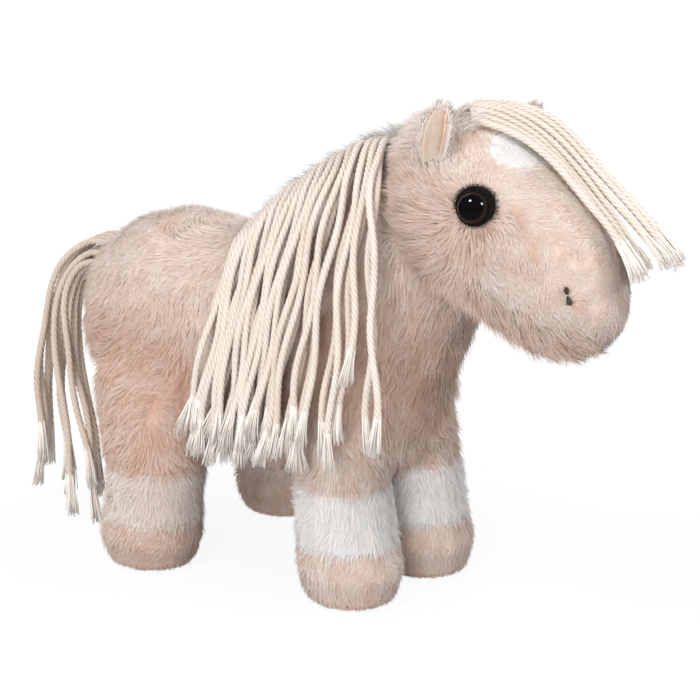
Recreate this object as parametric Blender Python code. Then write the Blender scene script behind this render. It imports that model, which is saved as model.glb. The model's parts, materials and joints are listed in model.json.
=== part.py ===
"""Plush toy horse: a small stuffed pony in short-pile fabric, with a cord mane, forelock and tail.

Every piece is a separate solid: sewn fabric covers that are open inside, the filling they hold,
felt and embroidered details, safety eyes with their lock washers, and cords that are stitched
into rolled seams. +X points forwards to the nose, +Y to the horse's left, +Z up, and lengths are
in metres. The origin lies on the floor, under the middle of the body from rump to nose.
"""
import math

import bpy
import bmesh
from mathutils import Matrix, Vector

# Fabric and clearances
seam_gap = 0.0003
filling_gap = 0.0006
fabric_wall = 0.0030
felt_wall = 0.0012
cutter_overrun = 0.004

# Stance: where the soles stand, from the middle between the front and hind feet
front_leg_forward = 0.0516
front_leg_spread = 0.0270
hind_leg_forward = -0.0516
hind_leg_spread = 0.0490

# Torso: the columns of its shares are along, centre up, width and depth
torso_rear = -0.1305
torso_length = 0.2135
torso_half_width = 0.050
torso_half_depth = 0.0595
torso_axis_height = 0.1015
torso_bluntness = 4.0
torso_shares = (
    (0.00, 0.10, 0.82, 0.82),
    (0.25, 0.04, 1.00, 0.98),
    (0.45, 0.02, 0.97, 0.95),
    (0.70, 0.00, 0.92, 0.96),
    (1.00, -0.04, 0.86, 0.86),
)

# Neck: it rises from the shoulders into the back of the head
neck_base_forward = 0.013
neck_base_height = 0.1056
neck_rise = math.radians(48.4)
neck_length = 0.125
neck_half_width = 0.039
neck_half_depth = 0.068
neck_bluntness = 6.0
neck_shares = (
    (0.00, 0.03, 1.00, 0.90),
    (0.24, 0.05, 1.04, 0.91),
    (0.57, 0.07, 0.96, 0.75),
    (0.90, 0.03, 0.90, 0.63),
    (1.00, 0.03, 0.88, 0.62),
)

# Head: it dips from the poll to the nose, and tilts a little towards its left side
head_back_forward = 0.058
head_back_height = 0.203
head_dip = math.radians(22)
head_tilt = math.radians(10)
head_length = 0.129
head_half_width = 0.043
head_half_depth = 0.046
head_bluntness = 3.4
head_shares = (
    (0.00, 0.04, 0.96, 0.94),
    (0.20, 0.06, 1.00, 0.95),
    (0.40, 0.06, 1.00, 0.88),
    (0.60, 0.02, 0.89, 0.85),
    (0.80, -0.08, 0.78, 0.84),
    (1.00, -0.14, 0.72, 0.80),
)

# Legs: the rows of their shares go up from the floor; the columns are up, forwards, outwards,
# length and width
leg_height = 0.112
hoof_half_length = 0.0245
hoof_half_width = 0.0235
sole_thickness = 0.0030
front_hoof_height = 0.0285
front_band_height = 0.0275
hind_hoof_height = 0.0235
hind_band_height = 0.0250
front_leg_shares = (
    (0.00, -0.02, 0.00, 0.78, 0.78),
    (0.04, -0.02, 0.00, 0.88, 0.88),
    (0.11, -0.03, 0.00, 0.99, 0.99),
    (0.19, -0.07, 0.00, 1.01, 1.01),
    (0.28, -0.14, 0.00, 0.95, 0.95),
    (0.40, -0.21, -0.01, 0.92, 0.92),
    (0.52, -0.26, -0.04, 0.94, 0.92),
    (0.70, -0.34, -0.16, 1.02, 0.94),
    (1.00, -0.44, -0.70, 1.15, 0.92),
)
hind_leg_shares = (
    (0.00, -0.10, 0.00, 0.76, 0.76),
    (0.04, -0.10, 0.00, 0.86, 0.86),
    (0.11, -0.10, 0.00, 0.98, 0.98),
    (0.17, -0.09, 0.00, 1.01, 1.00),
    (0.24, -0.07, -0.02, 0.96, 0.94),
    (0.34, -0.05, -0.06, 0.94, 0.92),
    (0.44, -0.06, -0.12, 1.02, 0.95),
    (0.60, -0.22, -0.30, 1.30, 1.02),
    (0.80, -0.38, -0.74, 1.60, 1.04),
    (1.00, -0.46, -1.45, 1.68, 0.96),
)

# Places on the head: share along its axis, then degrees up from the left side
eye_along_share = 0.49
eye_angle = math.radians(20)
nostril_along_share = 0.89
nostril_angle = math.radians(14)
star_along_share = 0.43
ear_along_share = 0.240
ear_angle = math.radians(33)

# Safety eye, its lock washer and its felt backing
eye_radius = 0.0060
eye_dome = 0.0050
eye_flange = 0.0010
shank_radius = 0.0024
shank_length = 0.0150
shank_clearance = 0.0004
washer_radius = 0.0065
washer_thickness = 0.0016
washer_depth = 0.0045
backing_radius = 0.0094

# Embroidered nostril and the white star
nostril_half_length = 0.0044
nostril_half_width = 0.0022
nostril_thickness = 0.0010
star_half_length = 0.0130
star_half_width = 0.0240

# Ear: a cupped leaf with a felt lining in its front
ear_length = 0.0275
ear_half_width = 0.0074
ear_wall = 0.0017
ear_cup_radius = 0.0066
ear_root_sink = 0.006
ear_out_leans = {"left": math.radians(21), "right": math.radians(4)}
ear_forward_lean = math.radians(8)
ear_turn = math.radians(74)
ear_lining_share = 0.90
ear_lining_top_share = 0.90
# Columns: up, width
ear_leaf_shares = (
    (0.00, 0.62),
    (0.25, 0.92),
    (0.50, 1.00),
    (0.75, 0.82),
    (0.93, 0.44),
    (1.00, 0.22),
)

# Cotton cord, and the rolled seams that hold it
cord_diameter = 0.0034
cord_layer_gap = 0.0004
cord_points = 11
cord_length_beat = math.radians(138)
roll_half_width = 0.0022
roll_overlap = 0.0016
roll_steps = 3

# Cord routes, root to end, chosen by hand: guides side by side, with the cords between them
mane_cords = 36
mane_locks = 9
mane_layers = 2
mane_variation_share = 0.10
mane_guide_shares = (0.00, 0.22, 0.44, 0.68, 0.83, 0.92, 1.00)
mane_guides = (
    ((-0.0240, 0.003, 0.1608), (-0.021, -0.010, 0.167), (-0.016, -0.028, 0.157),
     (-0.017, -0.038, 0.145), (-0.019, -0.046, 0.131), (-0.022, -0.051, 0.116),
     (-0.026, -0.054, 0.101), (-0.031, -0.055, 0.087)),
    ((-0.008, 0.003, 0.1776), (-0.005, -0.010, 0.1825), (0.001, -0.028, 0.172),
     (-0.001, -0.037, 0.156), (-0.003, -0.044, 0.138), (-0.005, -0.050, 0.117),
     (-0.009, -0.053, 0.096), (-0.014, -0.054, 0.074)),
    ((0.010, 0.003, 0.1917), (0.013, -0.010, 0.1955), (0.019, -0.027, 0.187),
     (0.018, -0.036, 0.170), (0.016, -0.043, 0.148), (0.013, -0.049, 0.124),
     (0.010, -0.052, 0.100), (0.006, -0.053, 0.078)),
    ((0.029, 0.003, 0.2040), (0.033, -0.011, 0.2085), (0.042, -0.029, 0.200),
     (0.039, -0.038, 0.179), (0.036, -0.044, 0.155), (0.033, -0.049, 0.130),
     (0.029, -0.052, 0.104), (0.025, -0.053, 0.080)),
    ((0.042, 0.003, 0.2117), (0.046, -0.011, 0.2155), (0.057, -0.031, 0.205),
     (0.056, -0.040, 0.182), (0.054, -0.046, 0.157), (0.051, -0.050, 0.131),
     (0.048, -0.053, 0.106), (0.046, -0.054, 0.083)),
    ((0.050, 0.003, 0.2145), (0.054, -0.012, 0.2175), (0.066, -0.033, 0.205),
     (0.067, -0.041, 0.183), (0.066, -0.046, 0.158), (0.064, -0.049, 0.133),
     (0.062, -0.051, 0.108), (0.061, -0.052, 0.086)),
    ((0.057, 0.003, 0.2154), (0.061, -0.013, 0.2190), (0.076, -0.038, 0.204),
     (0.079, -0.045, 0.181), (0.081, -0.048, 0.156), (0.080, -0.050, 0.132),
     (0.078, -0.051, 0.110), (0.077, -0.051, 0.090)),
)
forelock_cords = 7
forelock_layers = 1
forelock_variation_share = 0.08
forelock_guides = (
    ((0.1055, -0.0108, 0.2311), (0.1132, -0.0085, 0.2297), (0.1207, -0.0058, 0.2276),
     (0.1305, -0.0035, 0.2237), (0.1427, -0.0026, 0.2170), (0.1535, -0.0030, 0.2094),
     (0.1639, -0.0039, 0.2011), (0.1743, -0.0046, 0.1928), (0.1811, -0.0045, 0.1849)),
    ((0.0961, 0.0000, 0.2345), (0.1036, 0.0040, 0.2345), (0.1118, 0.0078, 0.2322),
     (0.1241, 0.0105, 0.2270), (0.1364, 0.0110, 0.2196), (0.1483, 0.0107, 0.2106),
     (0.1603, 0.0100, 0.2004), (0.1693, 0.0095, 0.1928), (0.1782, 0.0092, 0.1846)),
    ((0.0913, 0.0130, 0.2331), (0.0985, 0.0170, 0.2342), (0.1079, 0.0205, 0.2340),
     (0.1197, 0.0238, 0.2314), (0.1311, 0.0256, 0.2252), (0.1435, 0.0260, 0.2158),
     (0.1564, 0.0254, 0.2059), (0.1711, 0.0245, 0.1954), (0.1860, 0.0240, 0.1845)),
)
tail_cords = 12
tail_layers = 4
tail_variation_share = 0.12
tail_guides = (
    ((-0.1147, 0.004, 0.1447), (-0.1350, 0.003, 0.1420), (-0.1510, -0.001, 0.1265),
     (-0.1600, -0.005, 0.1040), (-0.1635, -0.008, 0.0840), (-0.1642, -0.011, 0.0640),
     (-0.1632, -0.014, 0.0440), (-0.1620, -0.016, 0.0250)),
    ((-0.1212, 0.003, 0.1377), (-0.1350, 0.001, 0.1340), (-0.1445, -0.005, 0.1200),
     (-0.1487, -0.010, 0.1010), (-0.1472, -0.014, 0.0820), (-0.1430, -0.018, 0.0620),
     (-0.1370, -0.021, 0.0415), (-0.1330, -0.024, 0.0200)),
    ((-0.1265, 0.002, 0.1294), (-0.1335, -0.001, 0.1270), (-0.1378, -0.007, 0.1185),
     (-0.1370, -0.016, 0.1030), (-0.1290, -0.024, 0.0830), (-0.1165, -0.031, 0.0640),
     (-0.1045, -0.036, 0.0440), (-0.0980, -0.040, 0.0230)),
)

# Facets
torso_sides = 18
neck_sides = 14
head_sides = 18
leg_sides = 14
torso_rings = 12
neck_rings = 7
head_rings = 11
leg_ring_pitch = 0.012
turned_sides = 12
prism_sides = 16
dome_rings = 4
ear_rows = 7
ear_columns = 6
cord_bevel_steps = 1
scan_steps = 100

# Steps for slopes, and the distance within which points are one
form_slope_share = 0.001
cord_slope_share = 0.01
weld_distance = 3.4e-6

# Finishes: base colour, roughness, metallic
finishes = {
    "beige_plush": ((0.69, 0.52, 0.42), 0.95, 0.0),
    "white_plush": ((0.78, 0.77, 0.76), 0.95, 0.0),
    "filling": ((0.86, 0.86, 0.84), 1.0, 0.0),
    "apricot_felt": ((0.88, 0.64, 0.42), 0.9, 0.0),
    "black_felt": ((0.012, 0.011, 0.010), 0.9, 0.0),
    "eye_plastic": ((0.010, 0.006, 0.005), 0.08, 0.0),
    "washer_plastic": ((0.75, 0.75, 0.73), 0.4, 0.0),
    "dark_thread": ((0.06, 0.045, 0.04), 0.7, 0.0),
    "cream_cord": ((0.78, 0.70, 0.58), 0.85, 0.0),
}


def smooth_row(rows, share):
    """The columns of a table at one share, on a smooth curve through its rows."""
    last = len(rows) - 2
    index = 0
    while index < last and share > rows[index + 1][0]:
        index += 1
    low, high = rows[index], rows[index + 1]
    before = rows[max(index - 1, 0)]
    after = rows[min(index + 2, len(rows) - 1)]
    span = high[0] - low[0]
    part = min(max((share - low[0]) / span, 0.0), 1.0)
    square, cube = part ** 2, part ** 3
    values = []
    for column in range(1, len(low)):
        slope_low = (high[column] - before[column]) / (high[0] - before[0])
        slope_high = (after[column] - low[column]) / (after[0] - low[0])
        values.append(low[column] * (2 * cube - 3 * square + 1)
                      + high[column] * (3 * square - 2 * cube)
                      + slope_low * span * (cube - 2 * square + part)
                      + slope_high * span * (cube - square))
    return values


def loft(rings, start_pole=None, end_pole=None, closed=False):
    """Skin a list of rings; ends get a pole or a flat cap, or join up when closed."""
    sides = len(rings[0])
    vertices = [point for ring in rings for point in ring]
    faces = []
    spans = len(rings) if closed else len(rings) - 1
    for index in range(spans):
        low = index * sides
        high = (index + 1) % len(rings) * sides
        for step in range(sides):
            turn = (step + 1) % sides
            faces.append((low + step, low + turn, high + turn, high + step))
    if closed:
        return vertices, faces
    top = (len(rings) - 1) * sides
    for pole, start, forward in ((start_pole, 0, False), (end_pole, top, True)):
        if pole is None:
            cap = [start + step for step in range(sides)]
            faces.append(tuple(cap if forward else reversed(cap)))
            continue
        vertices.append(pole)
        tip = len(vertices) - 1
        for step in range(sides):
            edge = (start + step, start + (step + 1) % sides)
            faces.append((*edge, tip) if forward else (edge[1], edge[0], tip))
    return vertices, faces


class Form:
    """A stuffed shape: oval rings along an axis, sized by a table of shares."""

    def __init__(self, origin, axis, side, length, half_side, half_up, rows, sides, rings=None,
                 bluntness=None, seams=()):
        self.origin = origin
        self.axis = axis
        self.side = side
        self.up = axis.cross(side)
        self.length = length
        self.half_side = half_side
        self.half_up = half_up
        self.rows = rows
        self.sides = sides
        self.rings = rings
        self.bluntness = bluntness
        self.seams = seams

    def closure(self, share):
        """How far a ring is drawn in towards a round end."""
        if self.bluntness is None:
            return 1.0
        return math.sqrt(max(0.0, 1 - abs(1 - 2 * share) ** self.bluntness))

    def point(self, share, angle, offset=0.0):
        """A surface point: share along the axis, and angle from the side towards up."""
        values = smooth_row(self.rows, share)
        shift_side = values[3] if len(values) > 3 else 0.0
        shift_up, width, depth = values[:3]
        reach = 0.0 if self.bluntness is None else offset
        along = share * (self.length + 2 * reach) - reach
        closing = self.closure(share)
        across = (shift_side * self.half_side
                  + (width * self.half_side + offset) * closing * math.cos(angle))
        above = (shift_up * self.half_up
                 + (depth * self.half_up + offset) * closing * math.sin(angle))
        return self.origin + self.axis * along + self.side * across + self.up * above

    def ring(self, share, offset=0.0):
        return [self.point(share, 2 * math.pi * step / self.sides, offset)
                for step in range(self.sides)]

    def solid(self, offset=0.0):
        """The whole round-ended shape, grown by an offset."""
        shares = [(1 - math.cos(math.pi * index / self.rings)) / 2
                  for index in range(1, self.rings)]
        return loft([self.ring(share, offset) for share in shares],
                    self.point(0.0, 0.0, offset), self.point(1.0, 0.0, offset))

    def shell(self, wall):
        """The round-ended shape with a closed hollow inside."""
        vertices, faces = self.solid()
        inner, turned = self.solid(-wall)
        start = len(vertices)
        faces += [tuple(start + corner for corner in reversed(face)) for face in turned]
        return vertices + inner, faces

    def heights(self, low, high):
        """Shares of the rings between two heights, the same for a cover and its filling."""
        levels = []
        for start, end in zip(self.seams, self.seams[1:]):
            steps = max(1, round((end - start) / leg_ring_pitch))
            levels += [start + (end - start) * step / steps for step in range(steps)]
        kept = [level for level in levels if low + 2 * seam_gap < level < high - 2 * seam_gap]
        return [level / self.length for level in (low, *kept, high)]

    def plug(self, low, high, offset=0.0):
        """A flat-ended solid between two heights."""
        return loft([self.ring(share, offset) for share in self.heights(low, high)])

    def sleeve(self, low, high, wall):
        """A wall, open at both ends, between two heights."""
        shares = self.heights(low, high)
        outer = [self.ring(share) for share in shares]
        inner = [self.ring(share, -wall) for share in reversed(shares)]
        return loft(outer + inner, closed=True)

    def seat(self, share, angle):
        """A frame on the surface: X forwards along it, Z straight out of it."""
        step = form_slope_share
        place = self.point(share, angle)
        along = (self.point(share + step, angle) - self.point(share - step, angle)).normalized()
        around = self.point(share, angle + step) - self.point(share, angle - step)
        out = around.cross(along).normalized()
        if out.dot(place - self.origin - self.axis * (share * self.length)) < 0:
            out = -out
        frame = Matrix((along, out.cross(along), out)).transposed().to_4x4()
        frame.translation = place
        return frame


def shape_forms():
    """The six kinds of stuffed shape, each in its place."""
    left = Vector((0, 1, 0))
    level = (left * math.cos(head_tilt)
             - Vector((math.sin(head_dip), 0, math.cos(head_dip))) * math.sin(head_tilt))
    found = {
        "torso": Form(Vector((torso_rear, 0, torso_axis_height)), Vector((1, 0, 0)), left,
                      torso_length, torso_half_width, torso_half_depth, torso_shares,
                      torso_sides, torso_rings, torso_bluntness),
        "neck": Form(Vector((neck_base_forward, 0, neck_base_height)),
                     Vector((math.cos(neck_rise), 0, math.sin(neck_rise))), left,
                     neck_length, neck_half_width, neck_half_depth, neck_shares,
                     neck_sides, neck_rings, neck_bluntness),
        "head": Form(Vector((head_back_forward, 0, head_back_height)),
                     Vector((math.cos(head_dip), 0, -math.sin(head_dip))), level,
                     head_length, head_half_width, head_half_depth, head_shares,
                     head_sides, head_rings, head_bluntness),
    }
    for place, forward, spread, rows, hoof, band in (
            ("front", front_leg_forward, front_leg_spread, front_leg_shares,
             front_hoof_height, front_band_height),
            ("hind", hind_leg_forward, hind_leg_spread, hind_leg_shares,
             hind_hoof_height, hind_band_height)):
        seams = (0, sole_thickness, hoof, hoof + band, leg_height)
        for label, hand in (("left", 1), ("right", -1)):
            table = tuple((up, -hand * ahead, wide, long, out)
                          for up, ahead, out, long, wide in rows)
            found[f"{label}_{place}"] = Form(
                Vector((forward, hand * spread, 0)), Vector((0, 0, 1)), Vector((0, hand, 0)),
                leg_height, hoof_half_width, hoof_half_length, table, leg_sides, seams=seams)
    return found


def new_finish(name):
    """A plain material from the table of finishes."""
    if name in bpy.data.materials:
        return bpy.data.materials[name]
    colour, roughness, metallic = finishes[name]
    finish = bpy.data.materials.new(name)
    finish.use_nodes = True
    shader = finish.node_tree.nodes["Principled BSDF"]
    shader.inputs["Base Color"].default_value = (*colour, 1.0)
    shader.inputs["Roughness"].default_value = roughness
    shader.inputs["Metallic"].default_value = metallic
    return finish


def add_piece(name, shape, finish=None):
    """An object from vertices and faces; one without a finish is a hidden cutter."""
    vertices, faces = shape
    mesh = bpy.data.meshes.new(name)
    mesh.from_pydata(vertices, [], faces)
    mesh.update()
    piece = bpy.data.objects.new(name, mesh)
    bpy.context.collection.objects.link(piece)
    piece.parent = bpy.data.objects["horse"]
    if finish is None:
        piece.hide_render = True
        piece.display_type = "WIRE"
    else:
        mesh.materials.append(new_finish(finish))
        mesh.shade_smooth()
    return piece


def combine(piece, operation, *others):
    """Cut a piece by others, keep what they share, or join them to it."""
    for other in others:
        boolean = piece.modifiers.new(other.name, "BOOLEAN")
        boolean.operation = operation
        boolean.object = other
        boolean.solver = "EXACT"
        boolean.use_self = operation == "UNION"
    return piece


def turned(profile, frame):
    """A solid turned about the frame's Z, from its lowest point to its highest."""
    rings = []
    for radius, height in profile[1:-1]:
        rings.append([frame @ Vector((radius * math.cos(turn), radius * math.sin(turn), height))
                      for turn in angles(turned_sides)])
    return loft(rings, frame @ Vector((0, 0, profile[0][1])),
                frame @ Vector((0, 0, profile[-1][1])))


def angles(count):
    return [2 * math.pi * step / count for step in range(count)]


def prism(frame, half_length, half_width, low, high):
    """An oval column along the frame's Z."""
    return loft([[frame @ Vector((half_length * math.cos(turn), half_width * math.sin(turn),
                                  height)) for turn in angles(prism_sides)]
                 for height in (low, high)])


def patch(name, frame, half_length, half_width, thickness, finish):
    """A thin oval piece that hugs the head from outside."""
    head = forms["head"]
    piece = add_piece(name, head.solid(seam_gap + thickness), finish)
    sag = max(half_length, half_width) ** 2 / head.half_side
    column = add_piece(name + "_outline", prism(frame, half_length, half_width,
                                                -sag - cutter_overrun, cutter_overrun))
    combine(piece, "INTERSECT", column)
    combine(piece, "DIFFERENCE", bpy.data.objects["head_outside"])
    return piece


def make_body():
    """Covers and fillings of the torso, neck and head, and the cutters that open them."""
    for name, form in forms.items():
        if form.bluntness is None:
            add_piece(f"{name}_bore", form.plug(front_hoof_height, leg_height, -fabric_wall))
        else:
            add_piece(f"{name}_bore", form.solid(-fabric_wall))
            add_piece(f"{name}_outside", form.solid(seam_gap))
    cutter = bpy.data.objects
    leg_bores = [cutter[f"{name}_bore"] for name in forms if forms[name].bluntness is None]
    torso = add_piece("torso_cover", forms["torso"].shell(fabric_wall), "beige_plush")
    combine(torso, "DIFFERENCE", cutter["neck_bore"], *leg_bores)
    neck = add_piece("neck_cover", forms["neck"].shell(fabric_wall), "beige_plush")
    combine(neck, "DIFFERENCE", cutter["torso_outside"], cutter["head_outside"])
    head = add_piece("head_cover", forms["head"].shell(fabric_wall), "beige_plush")
    combine(head, "DIFFERENCE", cutter["neck_bore"])
    inset = -fabric_wall - filling_gap
    add_piece("torso_filling", forms["torso"].solid(inset), "filling")
    core = add_piece("neck_filling", forms["neck"].solid(inset), "filling")
    combine(core, "DIFFERENCE", cutter["torso_bore"], cutter["head_bore"])
    add_piece("head_filling", forms["head"].solid(inset), "filling")


def make_leg(name):
    """One leg: sole, hoof cover, white band, upper cover, and the filling inside them."""
    form = forms[name]
    torso_outside = bpy.data.objects["torso_outside"]
    hoof_height, band_top = form.seams[2:4]
    add_piece(f"{name}_sole", form.plug(0, sole_thickness), "beige_plush")
    add_piece(f"{name}_hoof_cover",
              form.sleeve(sole_thickness + seam_gap, hoof_height, fabric_wall), "beige_plush")
    band = add_piece(f"{name}_leg_band",
                     form.sleeve(hoof_height + seam_gap, band_top, fabric_wall), "white_plush")
    cover = add_piece(f"{name}_leg_cover",
                      form.sleeve(band_top + seam_gap, leg_height, fabric_wall), "beige_plush")
    filling = add_piece(f"{name}_leg_filling",
                        form.plug(sole_thickness + seam_gap, leg_height,
                                  -fabric_wall - filling_gap), "filling")
    combine(band, "DIFFERENCE", torso_outside)
    combine(cover, "DIFFERENCE", torso_outside)
    combine(filling, "DIFFERENCE", bpy.data.objects["torso_bore"])


def make_eye(label, angle):
    """A safety eye, the lock washer on its shank, and the felt that it sits on."""
    head = forms["head"]
    frame = head.seat(eye_along_share, angle)
    flange_seat = felt_wall + 2 * seam_gap
    flange_top = flange_seat + eye_flange
    dome = [(eye_radius * math.cos(turn), flange_top + eye_dome * math.sin(turn))
            for turn in (math.pi / 2 * step / dome_rings for step in range(dome_rings + 1))]
    profile = [(0, -shank_length), (shank_radius, -shank_length), (shank_radius, flange_seat),
               (eye_radius, flange_seat), *dome[:-1], (0, dome[-1][1])]
    add_piece(f"{label}_eye", turned(profile, frame), "eye_plastic")
    washer_top = -washer_depth
    washer_low = washer_top - washer_thickness
    bore_radius = shank_radius + shank_clearance
    rings = [[frame @ Vector((radius * math.cos(turn), radius * math.sin(turn), height))
              for turn in angles(turned_sides)]
             for radius, height in ((washer_radius, washer_low), (washer_radius, washer_top),
                                    (bore_radius, washer_top), (bore_radius, washer_low))]
    add_piece(f"{label}_eye_washer", loft(rings, closed=True), "washer_plastic")
    backing = patch(f"{label}_eye_backing", frame, backing_radius, backing_radius, felt_wall,
                    "black_felt")
    bore = add_piece(f"{label}_eye_bore",
                     prism(frame, bore_radius, bore_radius, -shank_length - shank_clearance,
                           cutter_overrun))
    pocket_radius = washer_radius + seam_gap
    pocket = add_piece(f"{label}_eye_pocket",
                       prism(frame, pocket_radius, pocket_radius, washer_low - seam_gap,
                             cutter_overrun))
    combine(backing, "DIFFERENCE", bore)
    combine(bpy.data.objects["head_cover"], "DIFFERENCE", bore)
    combine(bpy.data.objects["head_filling"], "DIFFERENCE", pocket, bore)


def make_star():
    """The white patch let into the forehead, and the opening that it fills."""
    head = forms["head"]
    frame = head.seat(star_along_share, math.pi / 2)
    sag = star_half_width ** 2 / head.half_side
    low, high = -fabric_wall - sag - cutter_overrun, cutter_overrun
    opening = add_piece("star_opening", prism(frame, star_half_length + seam_gap,
                                              star_half_width + seam_gap, low, high))
    outline = add_piece("star_outline", prism(frame, star_half_length, star_half_width, low, high))
    combine(bpy.data.objects["head_cover"], "DIFFERENCE", opening)
    star = add_piece("forehead_star", head.shell(fabric_wall), "white_plush")
    combine(star, "INTERSECT", outline)


def ear_sheet(inner_radius, outer_radius, width_share, low, high, frame):
    """A leaf bent round an upright axis, with the hollow of the bend facing local -Y."""
    walls = []
    for radius in (outer_radius, inner_radius):
        grid = []
        for row in range(ear_rows):
            share = low + (high - low) * row / (ear_rows - 1)
            half = ear_half_width * width_share * smooth_row(ear_leaf_shares, share)[0]
            for column in range(ear_columns + 1):
                bend = (2 * column / ear_columns - 1) * half / ear_cup_radius
                grid.append(frame @ Vector((radius * math.sin(bend),
                                            radius * math.cos(bend) - ear_cup_radius,
                                            share * ear_length - ear_root_sink)))
        walls.append(grid)
    count = len(walls[0])
    stride = ear_columns + 1
    faces = []
    for row in range(ear_rows - 1):
        for column in range(ear_columns):
            corner = row * stride + column
            face = (corner, corner + stride, corner + stride + 1, corner + 1)
            faces.append(face)
            faces.append(tuple(count + index for index in reversed(face)))
    rim = [*range(ear_columns),
           *(row * stride + ear_columns for row in range(ear_rows - 1)),
           *(ear_rows * stride - 1 - column for column in range(ear_columns)),
           *((ear_rows - 1 - row) * stride for row in range(ear_rows - 1))]
    for index, start in enumerate(rim):
        end = rim[(index + 1) % len(rim)]
        faces.append((start, end, count + end, count + start))
    return walls[0] + walls[1], faces


def make_ear(label, hand):
    """A fur ear with a felt lining, standing on the head and turned outwards."""
    angle = ear_angle if hand > 0 else math.pi - ear_angle
    place = forms["head"].seat(ear_along_share, angle).translation
    facing = hand * ear_turn + math.pi / 2
    sideways = -head_tilt - hand * ear_out_leans[label]
    frame = (Matrix.Translation(place) @ Matrix.Rotation(sideways, 4, "X")
             @ Matrix.Rotation(ear_forward_lean, 4, "Y") @ Matrix.Rotation(facing, 4, "Z"))
    outside = bpy.data.objects["head_outside"]
    ear = add_piece(f"{label}_ear", ear_sheet(ear_cup_radius, ear_cup_radius + ear_wall, 1.0,
                                              0.0, 1.0, frame), "beige_plush")
    lining_radius = ear_cup_radius - seam_gap
    lining = add_piece(f"{label}_ear_lining",
                       ear_sheet(lining_radius - felt_wall, lining_radius, ear_lining_share,
                                 0.0, ear_lining_top_share, frame), "apricot_felt")
    combine(ear, "DIFFERENCE", outside)
    combine(lining, "DIFFERENCE", outside)


def route_point(guides, shares, across, along):
    """A point between guides: across from the first to the last, along from root to end."""
    steps = len(guides[0]) - 1
    rows = []
    for share, guide in zip(shares, guides):
        table = tuple((index / steps, *point) for index, point in enumerate(guide))
        rows.append((share, *smooth_row(table, along)))
    return Vector(smooth_row(rows, across))


def route_normal(guides, shares, across, along, outwards):
    """The direction square to the sheet of cords, on its outer side."""
    step = cord_slope_share
    side = (route_point(guides, shares, min(across + step, 1.0), along)
            - route_point(guides, shares, max(across - step, 0.0), along))
    down = (route_point(guides, shares, across, min(along + step, 1.0))
            - route_point(guides, shares, across, max(along - step, 0.0)))
    normal = side.cross(down).normalized()
    return normal if normal.dot(outwards) > 0 else -normal


def row_length(guides, shares):
    """How long the row of cord roots is, from the first guide to the last."""
    roots = [route_point(guides, shares, across, 0) for across in shares]
    return sum((after - before).length for before, after in zip(roots, roots[1:]))


def cord_tubes(name, routes):
    """Closed tubes along routes, as one mesh."""
    curve = bpy.data.curves.new(name, "CURVE")
    curve.dimensions = "3D"
    curve.bevel_depth = cord_diameter / 2
    curve.bevel_resolution = cord_bevel_steps
    curve.use_fill_caps = True
    for route in routes:
        spline = curve.splines.new("POLY")
        spline.points.add(len(route) - 1)
        for point, place in zip(spline.points, route):
            point.co = (*place, 1.0)
    guide = bpy.data.objects.new(name + "_guide", curve)
    bpy.context.collection.objects.link(guide)
    view = bpy.context.evaluated_depsgraph_get()
    mesh = bpy.data.meshes.new_from_object(guide.evaluated_get(view))
    bpy.data.objects.remove(guide)
    sheet = bmesh.new()
    sheet.from_mesh(mesh)
    bmesh.ops.remove_doubles(sheet, verts=sheet.verts, dist=weld_distance)
    bmesh.ops.recalc_face_normals(sheet, faces=sheet.faces)
    vertices = [vertex.co.copy() for vertex in sheet.verts]
    faces = [tuple(vertex.index for vertex in face.verts) for face in sheet.faces]
    sheet.free()
    return vertices, faces


def make_lock(name, guides, shares, cords, count, layers, outwards, variation_share,
              centred=False):
    """A few cords of a row, joined to their own slice of the rolled seam."""
    layer_step = cord_diameter + cord_layer_gap
    first_layer = -(layers - 1) / 2 if centred else 0
    routes = []
    for cord in cords:
        across = (cord + 0.5) / count
        height = (first_layer + cord % layers) * layer_step
        reach = 1 - variation_share * (1 + math.sin(cord_length_beat * cord)) / 2
        route = []
        for step in range(cord_points):
            along = reach * step / (cord_points - 1)
            route.append(route_point(guides, shares, across, along)
                         + route_normal(guides, shares, across, along, outwards) * height)
        routes.append(route)
    radius = cord_diameter / 2
    low = first_layer * layer_step - radius
    high = (first_layer + layers - 1) * layer_step + radius
    rings = []
    reach = 1 / count - (radius + seam_gap) / row_length(guides, shares)
    first, last = (cords[0] + 0.5) / count - reach, (cords[-1] + 0.5) / count + reach
    for step in range(roll_steps + 1):
        across = first + (last - first) * step / roll_steps
        root = route_point(guides, shares, across, 0)
        ahead = route_point(guides, shares, across, 1 / cord_points) - root
        normal = route_normal(guides, shares, across, 0, outwards)
        ahead = (ahead - normal * ahead.dot(normal)).normalized()
        front = ahead * roll_overlap
        rear = ahead * (roll_overlap - 2 * roll_half_width)
        rings.append([root + rear + normal * low, root + rear + normal * high,
                      root + front + normal * high, root + front + normal * low])
    roll = add_piece(name, loft(rings), "cream_cord")
    tubes = add_piece(name + "_cords", cord_tubes(name, routes))
    return combine(roll, "UNION", tubes)


def even_shares(count):
    return [index / (count - 1) for index in range(count)]


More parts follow.
